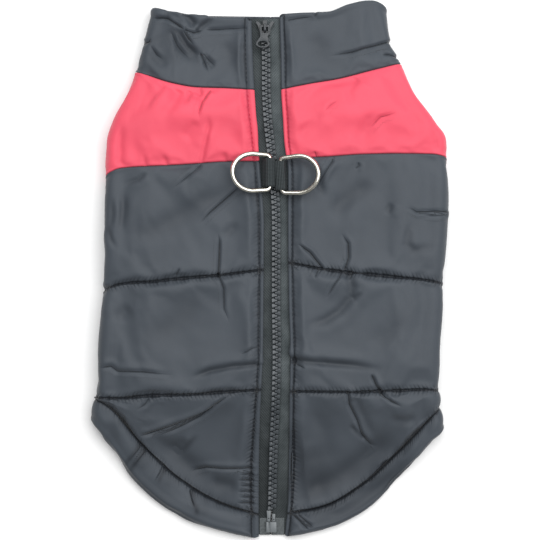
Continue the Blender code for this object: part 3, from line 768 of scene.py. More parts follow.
def beside_line(places, line, span):
    """The points within a span of a line: their numbers, how far each is from it, 1 where that is on its
    left or -1, and each one's share of the run along it."""
    near = np.flatnonzero(
        np.all((places[:, :2] > line.min(0) - span) & (places[:, :2] < line.max(0) + span), axis=1)
    )
    steps = np.diff(line, axis=0)
    lengths = np.linalg.norm(steps, axis=1)
    away = places[near, None, :2] - line[:-1]
    share = np.clip((away * steps).sum(-1) / lengths**2, 0, 1)
    gaps = np.linalg.norm(away - share[..., None] * steps, axis=-1)
    nearest = gaps.argmin(1)
    pick = np.arange(len(near)), nearest
    turned = steps[nearest, 0] * away[pick][:, 1] - steps[nearest, 1] * away[pick][:, 0]
    before = np.append(0, np.cumsum(lengths))[nearest]
    run = (before + share[pick] * lengths[nearest]) / lengths.sum()
    return near, gaps[pick], np.sign(turned), run


def press_folds(piece, folds, painted_valley_shade=PAINTED_VALLEY_SHADE):
    """Presses folds into the shell: each a groove along a line, with a swell on its left or its right.
    Stores the painted shade of its line or its valley for the material.
    """
    places = places_of(piece)
    normals = read(piece.data.vertices, "normal")
    skin, from_seam = (
        read(piece.data.attributes[name].data, "value", 1) for name in ("skin", "from_seam")
    )
    way = normals * (skin * np.clip(normals[:, 2] * 3 + 1, 0, 1))[:, None]
    # At its seams a panel only sinks or rises, so that no seam opens.
    way[:, :2] *= np.clip(from_seam / 2, 0, 1)[:, None]
    shift = np.zeros(len(places))
    crease = np.tile([FAR_OFF * MM, 0.0, 0.0], (len(places), 1))
    for fold in folds:
        line = np.array(fold.points, float)
        near, gap, turned, run = beside_line(places, line, REACH_OF_FOLD * fold.width)
        start, end = fold.fades
        strength = np.ones(len(near))
        if start:
            strength *= np.clip(run / start, 0, 1)
        if end:
            strength *= np.clip((1 - run) / end, 0, 1)
        strength = strength * strength * (3 - 2 * strength)
        groove = np.exp(-((gap / fold.width) ** 2))
        beside = gap * turned * math.copysign(1, fold.lift)
        swell = np.exp(-(((beside - SWELL_AT * fold.width) / (SWELL_WIDTH * fold.width)) ** 2))
        shift[near] += strength * (abs(fold.lift) * swell - fold.depth * groove)
        # A broad fold is painted in shade at the foot of its valley. A sharp fold is narrower than the mesh,
        # so that its line is handed to the material, which paints it in shade.
        if fold.width >= SHARP_FOLD:
            shade = painted_valley_shade * fold.depth * max(1, NARROW_FOLD / fold.width)
            crease[near, 2] += shade * strength * groove
        else:
            nearer = (gap < np.abs(crease[near, 0]) / MM) & (gap < 4)
            crease[near[nearer], 0] = (gap * turned)[nearer] * MM
            crease[near[nearer], 1] = (strength * min(1, fold.depth / DARK_FOLD))[nearer]
    # What the material paints in shade: how far each point is from a sharp fold's line, how dark that line
    # is, and the shade at the foot of broad folds.
    piece.data.attributes["folded"].data.foreach_set("vector", crease.ravel())
    # Every stitch pulls a small pucker into the cloth on both sides of its line.
    run, reach, pull = read(piece.data.attributes["stitching"].data, "vector").T / MM
    uneven = 0.5 + 0.5 * np.sin(run / 5.3 + 2 * np.sin(run / 13.0))
    ripple = 0.5 + 0.5 * np.cos(2 * math.pi * (run + 0.5 * reach) / (1.6 * PUCKER_PITCH / MM))
    near = np.exp(-((reach / PUCKER_FADES) ** 2))
    shift -= PUCKER_DEPTH * pull * (0.3 + 0.7 * uneven) * ripple**2 * near
    pressed = places + way * shift[:, None]
    pressed[:, 2] = np.maximum(pressed[:, 2], np.minimum(places[:, 2], 0.3))  # never into the floor
    move_points(piece, pressed)


def needle_line(piece, shape, rows, columns):
    """The points of a row or a column of the shell's grid, as it lies now."""
    return places_of(piece)[: shape[0] * shape[1]].reshape(*shape, 3)[rows, columns]


stitch_lines = {"dark": [], "red": []}
OVER_THE_TOP = slice(TOPSTITCHING + 1, TOPSTITCHING + len(TOP_COLUMNS) + 2)
SEAM_TO_SEAM = slice(2, -2)

# ------------------------------------------------------------------------------
# The two backs, of dark nylon, quilted along two lines into three channels. Each wraps round its side
# to the belly seam. Their folds fan out from the zip and hang from the lines of quilting.
# ------------------------------------------------------------------------------
BACK_FOLDS = {
    LEFT: (
        Fold(7.0, 1.8, 0.6, (0.3, 0.3), ((-101, 17), (-73, 27.5), (-46.5, 43), (-13.5, 56))),
        Fold(0.9, 1.4, 0.6, (0.4, 0.3), ((-49, 28.5), (-40, 38), (-31, 46), (-23, 53), (-17, 57.5))),
        Fold(0.9, 1.6, 0.7, (0.4, 0), ((-35, 25), (-33.8, 19), (-34.3, 7), (-34.8, -3))),
        Fold(0.9, 1.1, 0.5, (0, 0.5), ((-34.4, -3.5), (-31, -13), (-31, -26), (-27, -36))),
        Fold(3.0, 1.0, 0.5, (0.4, 0.4), ((-32, 20), (-27, 26), (-21, 32))),
        Fold(1.2, 1.0, 0.3, (0.5, 0), ((-60, 1.5), (-62.2, -3.5))),
        Fold(1.3, 0.9, -0.4, (0, 0.6), ((-46.6, 69), (-53, 63), (-66.5, 52))),
        Fold(1.6, 0.9, 0.4, (0.2, 0.5), ((-81.5, 65), (-88, 60), (-100, 56))),
        Fold(1.2, 1.6, 0.5, (0.2, 0.4), ((-112, -15.4), (-110.2, -12.4), (-106, -10.5))),
        Fold(0.9, 0.9, 0.4, (0.5, 0), ((-20.4, -56.5), (-12, -52.5))),
        Fold(
            1.4, 1.1, 0.6, (0.1, 0.4),
            ((-114, -65.5), (-106, -64.3), (-101.8, -67.8), (-85.7, -67.8), (-63, -70)),
        ),
        Fold(1.9, 1.9, 0.8, (0.3, 0), ((-54, -72.4), (-40, -67), (-25, -64), (-10.5, -63))),
        Fold(2.6, 1.5, 1.0, (0.4, 0.4), ((-97.5, 54), (-98, 40), (-99.5, 23))),
        Fold(2.0, 1.0, 0.6, (0.4, 0.4), ((-105.5, 50), (-105, 36), (-107, 24))),
        Fold(1.6, 1.0, -0.5, (0.3, 0.5), ((-109, 30), (-106, 20), (-101, 12))),
        Fold(1.3, 1.0, 0.4, (0.2, 0.5), ((-80, -84.5), (-83, -89), (-89, -94))),
        Fold(1.2, 1.7, 0.9, (0.1, 0.2), ((-88, -112), (-75, -108), (-62, -103), (-42.6, -95.2), (-25, -81))),
        Fold(1.2, 1.4, 0.7, (0.3, 0.3), ((-76, -112), (-60, -105), (-47, -98.4), (-36, -90))),
        Fold(4.5, 1.5, 0.5, (0.4, 0.4), ((-68, -124.5), (-61, -118), (-55, -112.4))),
        Fold(6.0, 1.8, 0.5, (0.3, 0.3), ((-80, -108), (-68, -121), (-52, -133), (-36, -143))),
        Fold(1.6, 1.0, 0.5, (0.4, 0.4), ((-63, -127), (-55, -118), (-48, -110))),
        Fold(
            1.1, 1.5, 0.7, (0.2, 0),
            ((-54, -137.5), (-51, -135.6), (-43.5, -133.7), (-27, -134.2), (-13.8, -133.8)),
        ),
        Fold(5.0, 2.0, 0.0, (0.3, 0.3), ((-43.3, -142), (-32, -145), (-20.8, -146.6))),
        *(
            Fold(0.9, 1.2, 0.4, (0.6, 0), ((-21 - 2 * (i % 2), -138 - 3.9 * i), (-12.2, -138.4 - 3.9 * i)))
            for i in range(6)
        ),
        Fold(5.0, 1.4, 0.5, (0.4, 0.4), ((-101, -36), (-99, -30), (-92, -24))),
        Fold(8.0, 1.2, 0.6, (0.4, 0.3), ((-90, -50), (-62, -36), (-44, -12))),
        Fold(10.0, 1.1, 0.0, (0.3, 0.2), ((-74, -118), (-50, -142), (-24, -158))),
    ),
    RIGHT: (
        Fold(2.5, 1.1, 0.6, (0, 0.4), ((29.5, 70), (32, 60), (36, 46))),
        Fold(1.2, 1.1, 0.5, (0, 0.5), ((40.8, 72), (33.2, 59), (31.5, 54.4), (34.7, 49.9))),
        Fold(1.0, 0.9, 0.4, (0.1, 0.5), ((58.5, 71.2), (58.6, 69), (56, 66.5))),
        Fold(5.5, 1.7, 0.7, (0.3, 0.3), ((69, 59), (56, 50.6), (44, 41.5), (35, 43))),
        Fold(0.9, 1.6, -0.6, (0.4, 0), ((89, 41), (93.6, 40.5), (97.4, 38.2), (108, 38.8), (117, 38.6))),
        Fold(0.9, 0.8, -0.3, (0.5, 0), ((100.4, 36), (108, 35.8), (116.3, 36.2))),
        Fold(
            3.0, 1.2, 0.5, (0.3, 0.4),
            ((96.5, 31.6), (92, 27), (90.5, 17.3), (95, 12.7), (104, 14.2), (112, 18.8)),
        ),
        Fold(2.2, 1.1, 0.4, (0.4, 0.4), ((80, 45), (79.2, 41.5), (76.5, 36.5))),
        Fold(0.9, 1.7, 0.7, (0.3, 0), ((17.6, 17.3), (26.7, 11.2), (34.2, 1.5))),
        Fold(1.0, 1.4, 0.6, (0.4, 0), ((46.8, 24.5), (51.7, 17.3), (51.9, 8.1), (49.5, 0.5))),
        Fold(0.8, 1.0, 0.4, (0, 0.4), ((47.2, -2), (41.9, -10.8), (36.6, -20))),
        Fold(
            3.0, 1.7, 0.9, (0, 0.3),
            ((51.7, -3.2), (54, -11.6), (53.3, -18.5), (45.7, -27.6), (36, -33.7), (22, -37.5)),
        ),
        Fold(1.5, 0.8, 0.4, (0.2, 0.5), ((54, -20), (61.7, -14.6))),
        Fold(1.0, 0.9, 0.3, (0, 0.5), ((31.3, -1), (29.3, -6.3))),
        Fold(2.2, 2.1, 1.0, (0, 0.5), ((14, -60), (36, -61.8), (57, -63.7), (79, -67.1))),
        Fold(1.0, 1.0, 0.3, (0, 0.5), ((17.6, -63.1), (23, -65.7))),
        Fold(
            1.2, 1.5, 0.7, (0, 0.3),
            ((51.4, -82), (52.3, -89.8), (57.9, -101), (61.4, -110.8), (71, -123)),
        ),
        Fold(1.1, 1.6, 0.7, (0.1, 0.3), ((66.8, -69), (70, -77), (73.3, -81.5), (80.3, -87.8), (88, -91.4))),
        Fold(1.6, 1.0, 0.4, (0.3, 0), ((52.6, -103), (57, -108), (61.8, -112.6))),
        Fold(3.4, 1.2, 0.5, (0.1, 0.4), ((55, -84), (62, -100), (70, -114))),
        Fold(3.4, 1.4, 0.5, (0.3, 0.3), ((78, -100), (90, -101), (99, -99))),
        Fold(6.5, 1.8, 0.5, (0.2, 0.3), ((18, -152), (45, -141), (66, -124), (88, -104))),
        Fold(6.0, 1.4, 0.6, (0.3, 0.4), ((24, -90), (36, -108), (40, -132))),
        Fold(6.0, 1.2, 0.6, (0.4, 0.4), ((92, -28), (80, -42), (62, -52))),
        Fold(16.0, 2.0, 0.0, (0.3, 0.3), ((28, -116), (32, -138), (38, -158))),
        Fold(12.0, 1.2, 0.0, (0.3, 0.1), ((16, -100), (19, -130), (26, -160))),
        Fold(12.0, 1.6, 0.0, (0.3, 0.3), ((46, -148), (64, -134), (84, -110))),
    ),
}
BACK_ROWS = (42, 44, 44)
BACK_PULL = {
    LEFT: ((-160, -130, -90, -70, -30, 0, 60), (1, 1, 0.8, 0.5, 0.35, 0.4, 0.15)),
    RIGHT: ((-160, -90, -40, 10, 60), (0.8, 0.6, 0.3, 0.15, 0.2)),
}

panels = {}
for side, word in SIDES:
    rows = channel(side, HALF_ROUND, YOKE_SEAM, FIRST_QUILTING, BACK_ROWS[0], LOFT, (False, True))
    rows += channel(side, HALF_ROUND, FIRST_QUILTING, SECOND_QUILTING, BACK_ROWS[1], LOFT, (True, True))[1:]
    rows += channel(side, HALF_ROUND, SECOND_QUILTING, HEM_SEAM, BACK_ROWS[2], LOFT, (True, True))[1:]
    back, shape = panel(
        f"quilted_back_{word}", f"back_{word}", quilted_nylon, side, HALF_ROUND, rows, BACK_PULL[side]
    )
    press_folds(back, BACK_FOLDS[side])
    panels["back", side] = back
    for row in rows_of_needle(rows)[:2]:
        stitch_lines["dark"].append(needle_line(back, shape, row, OVER_THE_TOP))
    stitch_lines["dark"].append(needle_line(back, shape, SEAM_TO_SEAM, TOPSTITCHING))

# ------------------------------------------------------------------------------
# The red yoke, one padded channel across the shoulders, let in between the collar and the backs.
# ------------------------------------------------------------------------------
YOKE_FOLDS = {
    LEFT: (
        Fold(4.0, 1.5, 0.7, (0.1, 0.4), ((-59.5, 120), (-66, 108), (-75, 98))),
        Fold(2.6, 1.1, 0.5, (0.1, 0.5), ((-70, 124), (-80, 112), (-84, 103))),
        Fold(2.0, 1.0, 0.5, (0.1, 0.5), ((-53, 119), (-57.5, 108))),
        Fold(1.0, 1.1, 0.6, (0.1, 0.4), ((-39.4, 120), (-45, 112), (-47.2, 104), (-47.4, 99))),
        Fold(1.7, 0.8, 0.4, (0, 0.5), ((-47.3, 120), (-46.3, 112.4))),
        Fold(1.7, 1.1, 0.6, (0.4, 0), ((-42, 104.8), (-40.8, 95.2), (-43.4, 84), (-46, 71))),
        Fold(4.0, 1.3, 0.5, (0.3, 0.3), ((-48, 99), (-57.4, 85.3))),
        Fold(1.8, 1.0, 0.4, (0.6, 0), ((-84, 77), (-83.1, 68))),
        Fold(1.8, 1.0, 0.4, (0.6, 0), ((-71.4, 77), (-69.2, 70))),
        Fold(1.8, 0.9, 0.4, (0.6, 0), ((-31, 79), (-30, 71))),
        Fold(2.5, 1.3, 0.8, (0.4, 0.1), ((-98.5, 100), (-100, 84), (-99.7, 68.4))),
        Fold(6.0, 1.2, 0.5, (0.3, 0.3), ((-20, 108), (-26, 94), (-24, 80))),
    ),
    RIGHT: (
        Fold(4.0, 1.3, 0.6, (0.3, 0.3), ((36.2, 107), (26.2, 96), (15, 86))),
        Fold(5.0, 1.6, 0.7, (0.3, 0.3), ((86, 106), (66, 98), (56, 81.3))),
        Fold(1.2, 0.9, 0.3, (0.5, 0), ((28.9, 79), (30.5, 74.8))),
        Fold(3.0, 1.0, 0.5, (0.1, 0.5), ((58, 128), (52, 118), (54, 106))),
        Fold(2.5, 1.0, 0.5, (0.4, 0.2), ((107, 96), (110, 86), (111, 78))),
        Fold(1.1, 0.8, 0.5, (0.3, 0.4), ((65, 92.5), (73, 100.5), (85, 104.5))),
        Fold(1.1, 0.6, 0.4, (0.4, 0.4), ((35, 104.5), (40, 109.5), (45, 112.6))),
    ),
}
for side, word in SIDES:
    rows = channel(side, HALF_ROUND, COLLAR_SEAM, YOKE_SEAM, 32, LOFT)
    yoke, shape = panel(
        f"quilted_yoke_{word}", f"yoke_{word}", red_nylon, side, HALF_ROUND, rows, ((70, 120), (0.25, 0.25))
    )
    press_folds(yoke, YOKE_FOLDS[side], PAINTED_VALLEY_SHADE / 2)  # half the painted shade in its folds: bright cloth throws light into its folds
    panels["yoke", side] = yoke
    stitch_lines["red"].append(needle_line(yoke, shape, SEAM_TO_SEAM, TOPSTITCHING))

# ------------------------------------------------------------------------------
# The collar stands round the neck and here lies pressed flat, its back layer peeping out above the
# front one. A drawn-in channel runs under its top edge, and gathers it most on the left.
# ------------------------------------------------------------------------------
COLLAR_FOLDS = {
    LEFT: (
        Fold(5.0, 2.4, 0.5, (0.2, 0.3), ((-67, 163), (-62.5, 154), (-57, 147), (-50, 141), (-46, 138))),
        Fold(1.2, 0.9, 0.8, (0.3, 0.4), ((-68, 160), (-63.5, 152), (-58.5, 145), (-52, 139.5))),
        Fold(
            1.7, 1.2, 0.7, (0.3, 0.4),
            ((-63.5, 162), (-59, 155.5), (-55.5, 149.5), (-50, 144.5), (-44, 141)),
        ),
        Fold(1.0, 0.9, 0.6, (0.3, 0.4), ((-58.5, 160), (-55, 154), (-51, 149.5))),
        Fold(0.9, 1.1, 0.5, (0.1, 0.5), ((-47, 144.5), (-44, 138), (-41.2, 131))),
        Fold(1.3, 0.8, 0.5, (0.1, 0.5), ((-45.0, 144), (-41, 139.4), (-36.2, 135))),
        Fold(3.2, 1.1, 0.4, (0.1, 0.4), ((-44, 140), (-37, 134))),
        Fold(3.5, 1.2, 0.6, (0.3, 0.3), ((-81, 146), (-74.5, 139.6), (-68, 135.6))),
        Fold(1.0, 0.7, 0.5, (0.3, 0.5), ((-80.6, 150.6), (-76, 143.4), (-71, 139.8))),
        Fold(1.1, 1.5, 0.4, (0, 0.4), ((-86, 151.8), (-82.3, 152.4), (-80, 154.4))),
        Fold(0.9, 1.2, 0.9, (0.2, 0.2), ((-80, 168.4), (-69, 167.4), (-63.5, 163.8), (-57, 159.4))),
        Fold(3.4, 1.4, 0.3, (0.2, 0.3), ((-72, 171), (-64, 168.5), (-57, 163.5))),
        Fold(2.4, 2.2, 0.4, (0, 0.3), ((-58, 171), (-53, 166), (-49, 161))),
        Fold(8.0, 1.0, 0.0, (0, 0.1), ((-84, 130), (-81, 150), (-76, 172))),
        Fold(8.0, 0.9, 0.0, (0.2, 0.2), ((-76, 158), (-70, 146), (-58, 137))),
        Fold(1.6, 1.2, 0.9, (0.1, 0.3), ((-50, 158.4), (-46, 161.6), (-41.5, 164.8), (-37.5, 169.6))),
        Fold(0.9, 1.2, 0.6, (0.1, 0.3), ((-57.5, 159.6), (-51, 157.4), (-45, 159.4))),
        Fold(1.2, 0.9, 0.4, (0.2, 0.1), ((-44, 159.6), (-34, 159.8), (-25, 160.4), (-15, 161.0))),
        Fold(4.5, 1.0, 0.4, (0.3, 0.4), ((-33, 153), (-27, 143), (-29, 132))),
    ),
    RIGHT: (
        Fold(0.9, 1.2, 0.5, (0.4, 0), ((37.6, 142.1), (54.1, 144.7), (68.6, 148.9), (79.8, 152.2))),
        Fold(3.0, 0.8, 0.4, (0.4, 0), ((44, 141), (56.5, 143), (68, 146.2), (79, 150))),
        Fold(0.9, 1.1, 0.3, (0.3, 0), ((74, 143.4), (80, 143), (86.5, 142.2))),
        Fold(6.0, 0.8, 0.3, (0.3, 0.4), ((26, 158), (33, 147), (32, 134))),
        Fold(1.0, 0.8, 0.3, (0.1, 0.4), ((11, 165.6), (19, 167.0), (29, 168.2))),
        Fold(0.9, 1.1, 0.2, (0, 0.6), ((30.2, 170.5), (29.7, 167.5))),
    ),
}
for side, word in SIDES:
    rows = channel(side, ALL_ROUND, COLLAR_SEAM, COLLAR_TOP, 30, COLLAR_LOFT)[:-5]
    rows += rolled_edge(side, ALL_ROUND, COLLAR_TOP, 1, WALL + 2.2, 7)
    collar, shape = panel(
        f"padded_collar_{word}", f"collar_{word}", quilted_nylon, side, ALL_ROUND, rows,
        ((120, 170), (0, 0)), most=3.0,
    )
    press_folds(collar, COLLAR_FOLDS[side])
    panels["collar", side] = collar
    stitch_lines["dark"].append(needle_line(collar, shape, slice(2, -8), TOPSTITCHING))

# ------------------------------------------------------------------------------
# The hem casing, a padded band of the same nylon turned over the edge of the tail and sides, and
# stitched down on the backs. Short folds cross it where the tail curves.
# ------------------------------------------------------------------------------
HEM_LOFT = 7.5
HEM_FOLDS = {
    LEFT: (
        Fold(1.7, 2.0, 1.3, (0, 0.3), ((-85.5, -113.2), (-88.6, -119.6), (-95, -127.6), (-99, -133))),
        Fold(1.7, 2.2, -1.2, (0.1, 0.3), ((-82.0, -116.8), (-85.5, -123.0), (-92.0, -131.6), (-95, -137))),
        Fold(0.9, 0.6, 0.2, (0, 0.4), ((-85.2, -113.5), (-88.4, -119.8), (-94.4, -127.6))),
        Fold(0.9, 0.6, 0.2, (0.1, 0.4), ((-82.0, -117.0), (-85.5, -123.2), (-91.5, -131.2))),
        Fold(4.0, 1.6, 0.0, (0.2, 0.1), ((-79, -121), (-88, -134))),
        Fold(1.1, 1.1, 0.5, (0, 0.5), ((-71.6, -129.3), (-74.4, -136), (-78.6, -143.5))),
        Fold(1.6, 1.8, 1.2, (0, 0.4), ((-69.2, -131.0), (-73, -137.5), (-76.5, -146))),
        Fold(4.0, 1.4, 0.0, (0.2, 0.2), ((-66.5, -136), (-71, -147))),
        Fold(1.0, 1.1, 0.4, (0, 0.3), ((-49.5, -143), (-54.4, -149.3), (-52.8, -155), (-50.4, -161))),
        Fold(
            1.7, 2.2, 1.2, (0, 0.2),
            ((-48, -144.5), (-53.0, -150.5), (-51.6, -157), (-49.6, -161), (-49.4, -167)),
        ),
        Fold(4.5, 1.4, 0.0, (0.2, 0.2), ((-44, -150), (-45, -160), (-44, -167))),
        Fold(1.5, 0.9, 0.4, (0.1, 0.5), ((-33, -152.5), (-34, -160))),
        Fold(5.0, 1.2, 0.3, (0.3, 0.3), ((-105, -97), (-103, -108), (-108, -118))),
        Fold(4.5, 1.5, 0.0, (0.2, 0.2), ((-105, -122), (-89, -143), (-67, -162), (-40, -173))),
    ),
    RIGHT: (
        Fold(1.0, 1.7, 0.7, (0, 0.3), ((15.4, -165.8), (20.5, -170.5), (26.5, -175.7))),
        Fold(0.9, 1.4, 0.5, (0, 0.4), ((19.4, -165.4), (24.5, -170), (29.5, -174.5))),
        Fold(4.5, 0.6, 0.2, (0.3, 0.4), ((65, -136), (69, -146))),
        Fold(4.5, 0.5, 0.2, (0.3, 0.4), ((85, -117), (91, -127))),
        Fold(9.0, 1.4, 0.0, (0.1, 0.2), ((16, -170), (50, -159), (77, -142), (101, -121))),
        Fold(5.5, 1.3, 0.0, (0.2, 0.2), ((20, -173), (50, -164), (77, -147), (101, -125))),
    ),
}
for side, word in SIDES:
    rows = channel(side, HALF_ROUND, HEM_SEAM, HEM_EDGE, 14, HEM_LOFT, (True, False))[:-6]
    rows += rolled_edge(side, HALF_ROUND, HEM_EDGE, -1, WALL + 0.62 * HEM_LOFT, 11, deep=7.0)
    hem, shape = panel(
        f"hem_casing_{word}", f"hem_{word}", quilted_nylon, side, HALF_ROUND, rows,
        ((-180, -160), (0.3, 0.6)), most=2.5,
    )
    press_folds(hem, HEM_FOLDS[side])
    panels["hem", side] = hem
    stitch_lines["dark"].append(needle_line(hem, shape, 1, OVER_THE_TOP))

# ------------------------------------------------------------------------------
# The belly, seen only from below: one flat quilted panel between the two belly seams, and the elastic
# casing that ends it. It lies on the floor, so that its lines of stitches are drawn upwards.
# ------------------------------------------------------------------------------
BELLY_WALL = 4.0
BELLY_FROM, BELLY_TO = -88.0, 124.0
BELLY_QUILTING = (-80.0, -14.5, 60.0)
CASING_END = -100.0
ELASTIC_GATHER = 4.5
THROAT_FROM = 60.0  # from here forward the belly bends to the seam of the collar
STITCHES_SINK, SINK_WIDTH = 0.9, 1.3
GATHER_SINK = 0.35

for name, node, start, end, quilting in (
    ("quilted_belly", "belly", BELLY_FROM + 0.2, BELLY_TO - 0.2, BELLY_QUILTING),
    ("belly_casing", "belly_hem", CASING_END, BELLY_FROM - 0.2, ()),
):
    across = np.linspace(-BELLY_SEAM + HAIR, BELLY_SEAM - HAIR, 61)
    along = np.linspace(start, end, max(7, round((end - start) / 2.2)))
    for line in quilting:
        along[np.abs(along - line).argmin()] = line
    x, y = np.meshgrid(across, along)
    edge = np.minimum(np.minimum(x + BELLY_SEAM, BELLY_SEAM - x), np.minimum(y - start, end - y))
    # Under the throat the panel's end follows the seam of the collar.
    beneath = 4 - np.abs(x) / BELLY_SEAM
    throat = np.where(x < 0, *(seam_at(COLLAR_SEAM, side, beneath) for side in (LEFT, RIGHT)))
    bent = np.maximum(0, (y - THROAT_FROM) / (BELLY_TO - THROAT_FROM)) ** 2
    y = y + (throat - BELLY_TO) * bent
    seams = [np.abs(y - line) for line in quilting]
    gap = np.minimum.reduce([edge, *seams])
    sunk = STITCHES_SINK * np.exp(-((gap / SINK_WIDTH) ** 2))
    if not quilting:
        gathers = 0.5 + 0.5 * np.sin(2 * math.pi * x / ELASTIC_GATHER)
        sunk += GATHER_SINK * gathers * np.clip(gap / 2, 0, 1)
    outer = np.stack([x, y, sunk], -1).reshape(-1, 3)
    ripple = 0.25 * np.sin(x / 7.0 + y / 11.0) * np.clip(gap / 3, 0, 1)
    inner = np.stack([x, y, BELLY_WALL - 0.4 - 0.5 * sunk + ripple], -1).reshape(-1, 3)
    first = len(outer)
    loop = border(*x.shape)
    rim = [(a, b, b + first, a + first) for a, b in zip(loop, np.roll(loop, -1))]
    made = as_mesh(
        name,
        np.concatenate([outer, inner]),
        [*grid_faces(*x.shape), *grid_faces(*x.shape, first), *rim],
    )
    face_outward(made)
    lay = np.tile(np.stack([x, y, 0 * x], -1).reshape(-1, 3), (2, 1)) * MM
    near = np.stack([x, np.maximum(gap, 0), 0 * x + 0.8], -1).reshape(-1, 3)
    near = np.concatenate([near, near + (0, FAR_OFF, 0)]) * MM
    note(made, lay=lay, stitching=near, folded=0 * lay + (FAR_OFF * MM, 0, 0))
    clothe(made, quilted_nylon)
    apply_modifier(made, "SUBSURF", levels=1, render_levels=1)
    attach(made, "root")
    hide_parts(node)
    panels[node, 0] = made

# ------------------------------------------------------------------------------
# The leg holes, cut through every panel they cross and bound with nylon. The binding is turned over the
# padded raw edge and makes a soft round rim, puckered by its stitches.
# ------------------------------------------------------------------------------
LEG_HOLE_X, LEG_HOLE_Y = 58.0, 76.0
LEG_HOLE_ACROSS, LEG_HOLE_ALONG = 48.0, 68.0
BINDING = 3.8
BINDING_STITCH, BINDING_PUCKER = 3.0, 0.16
ROUND_HOLE, ROUND_RIM = 200, 14  # points round the hole, and round its rim

# The same nylon, cut on the bias: darker, as it is folded double.
bound_edge = woven_nylon("bias_binding_nylon", "33383e", "15181c", 0.55)
for side, word in SIDES:
    bpy.ops.mesh.primitive_cylinder_add(vertices=72, radius=MM / 2, depth=14 * MM)
    cutter = bpy.context.object
    stretch = Matrix.Diagonal((LEG_HOLE_ACROSS, LEG_HOLE_ALONG, 1, 1))
    middle = Vector((side * LEG_HOLE_X, LEG_HOLE_Y, 0))
    cutter.data.transform(Matrix.Translation(middle * MM) @ stretch)
    for key in (("back", side), ("yoke", side), ("belly", 0)):
        apply_modifier(panels[key], "BOOLEAN", operation="DIFFERENCE", object=cutter, solver="EXACT")
    bpy.data.objects.remove(cutter)

    inset = BINDING / 2 + SEAM_GAP
    half_x, half_y = LEG_HOLE_ACROSS / 2 - inset, LEG_HOLE_ALONG / 2 - inset
    length = math.pi * (3 * (half_x + half_y) - math.sqrt((3 * half_x + half_y) * (half_x + 3 * half_y)))
    shares = np.arange(ROUND_HOLE) / ROUND_HOLE
    turn, run = 2 * math.pi * shares, length * shares
    middles = np.stack([side * LEG_HOLE_X + half_x * np.cos(turn), LEG_HOLE_Y + half_y * np.sin(turn)], -1)
    outward = np.stack([half_y * np.cos(turn), half_x * np.sin(turn)], -1)
    outward /= np.linalg.norm(outward, axis=1, keepdims=True)
    round_tape = 2 * math.pi * np.arange(ROUND_RIM) / ROUND_RIM
    pull = BINDING_PUCKER * np.sin(2 * math.pi * run / BINDING_STITCH)[:, None]
    radius = BINDING / 2 * (1 - 0.05 * (1 + np.cos(2 * round_tape))) + pull * np.cos(round_tape) ** 2
    away = radius * np.cos(round_tape)
    rise = BINDING / 2 + 0.1 + radius * np.sin(round_tape)
    points = np.concatenate([middles[:, None] + outward[:, None] * away[..., None], rise[..., None]], -1)
    number = np.arange(ROUND_HOLE * ROUND_RIM).reshape(ROUND_HOLE, ROUND_RIM)
    ahead = np.roll(number, -1, axis=0)
    corners = (number, ahead, np.roll(ahead, -1, axis=1), np.roll(number, -1, axis=1))
    faces = np.stack(corners, -1).reshape(-1, 4)
    binding = as_mesh(f"leg_hole_binding_{word}", points.reshape(-1, 3), faces)
    face_outward(binding)
    tape_run = np.stack(np.broadcast_arrays(run[:, None], 1.2 * round_tape[None], 0 * away), -1) * MM
    needle = 2.5 + 1.5 * np.cos(round_tape)[None]
    needle = np.stack(np.broadcast_arrays(run[:, None], needle, 0 * away + 0.8), -1) * MM
    note(binding, lay=tape_run, stitching=needle, folded=0 * tape_run + (FAR_OFF * MM, 0, 0))
    clothe(binding, bound_edge)
    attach(binding, "root")
    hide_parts(f"leg_binding_{word}")

# ------------------------------------------------------------------------------
# The zip's two tapes, woven of polyester in a herringbone twill, with a cord along each inner edge that
# the teeth are moulded on. They lie under the folded edges and are stitched in there.
# ------------------------------------------------------------------------------
TAPE = 0.6
TAPE_DROP = FOLDED_EDGE + HAIR
TAPE_UNDER = 2.0
TAPE_TOP, TAPE_END = 167.8, -179.4
CORD_FROM_MIDDLE, CORD_HEIGHT, CORD_WIDTH = 3.9, 0.35, 0.75
TWILL_PITCH = 1.3 * MM
# The columns of a tape, as shares of its width from the zip: closer over the cord.
TAPE_COLUMNS = np.array([0, 0.12, 0.2, 0.26, 0.31, 0.36, 0.41, 0.46, 0.51, 0.58, 0.68, 0.8, 0.9, 1.0])

# Polyester twill, woven: matt, with slanting ribs 1.3 mm apart, painted darker in their hollows, the whole
# darker towards the foot of the zip and the right tape lighter than the left.
twill = bpy.data.materials.new("herringbone_twill_polyester")
set_surface(twill, {"Roughness": 0.8, "Specular IOR Level": 0.25})
lay = add_node(twill, "Attribute", attribute_name="lay").outputs["Vector"]
leaning = add_node(twill, "Mapping", {0: lay, 2: (0, 0, math.radians(40))}).outputs[0]
ribs = bands(twill, leaning, TWILL_PITCH, 0.5)
yarns = bands(twill, lay, 0.8 * MM, 0.6, "Y")
cloth = calculate(twill, "ADD", ribs, yarns)
relieve_surface(twill, (cloth, 0.22 * MM))
dust = noise(twill, lay, 60.0, 4.0)
shade = ramp(twill, dust, (0.3, 0.7))
# Painted shade in the hollows of the ribs.
painted_rib_shade = ramp(twill, ribs, (0, 1), (0.8, 1.12))
along, which = add_node(twill, "SeparateXYZ", {0: lay}).outputs[1:]
# Darker towards the foot of the zip, and the right tape lighter than the left.
darker_to_foot = ramp(twill, along, (-155 * MM, -95 * MM), (0.55, 1.0))
uneven_tone = ramp(twill, which, (-MM, MM), (0.85, 1.3))
dyed = between_colours(twill, shade, "343a3c", "4e5456")
for tone in (painted_rib_shade, darker_to_foot, uneven_tone):
    dyed = add_node(twill, "VectorMath", {0: dyed, 3: tone}, operation="SCALE").outputs[0]
colour_surface(twill, dyed)

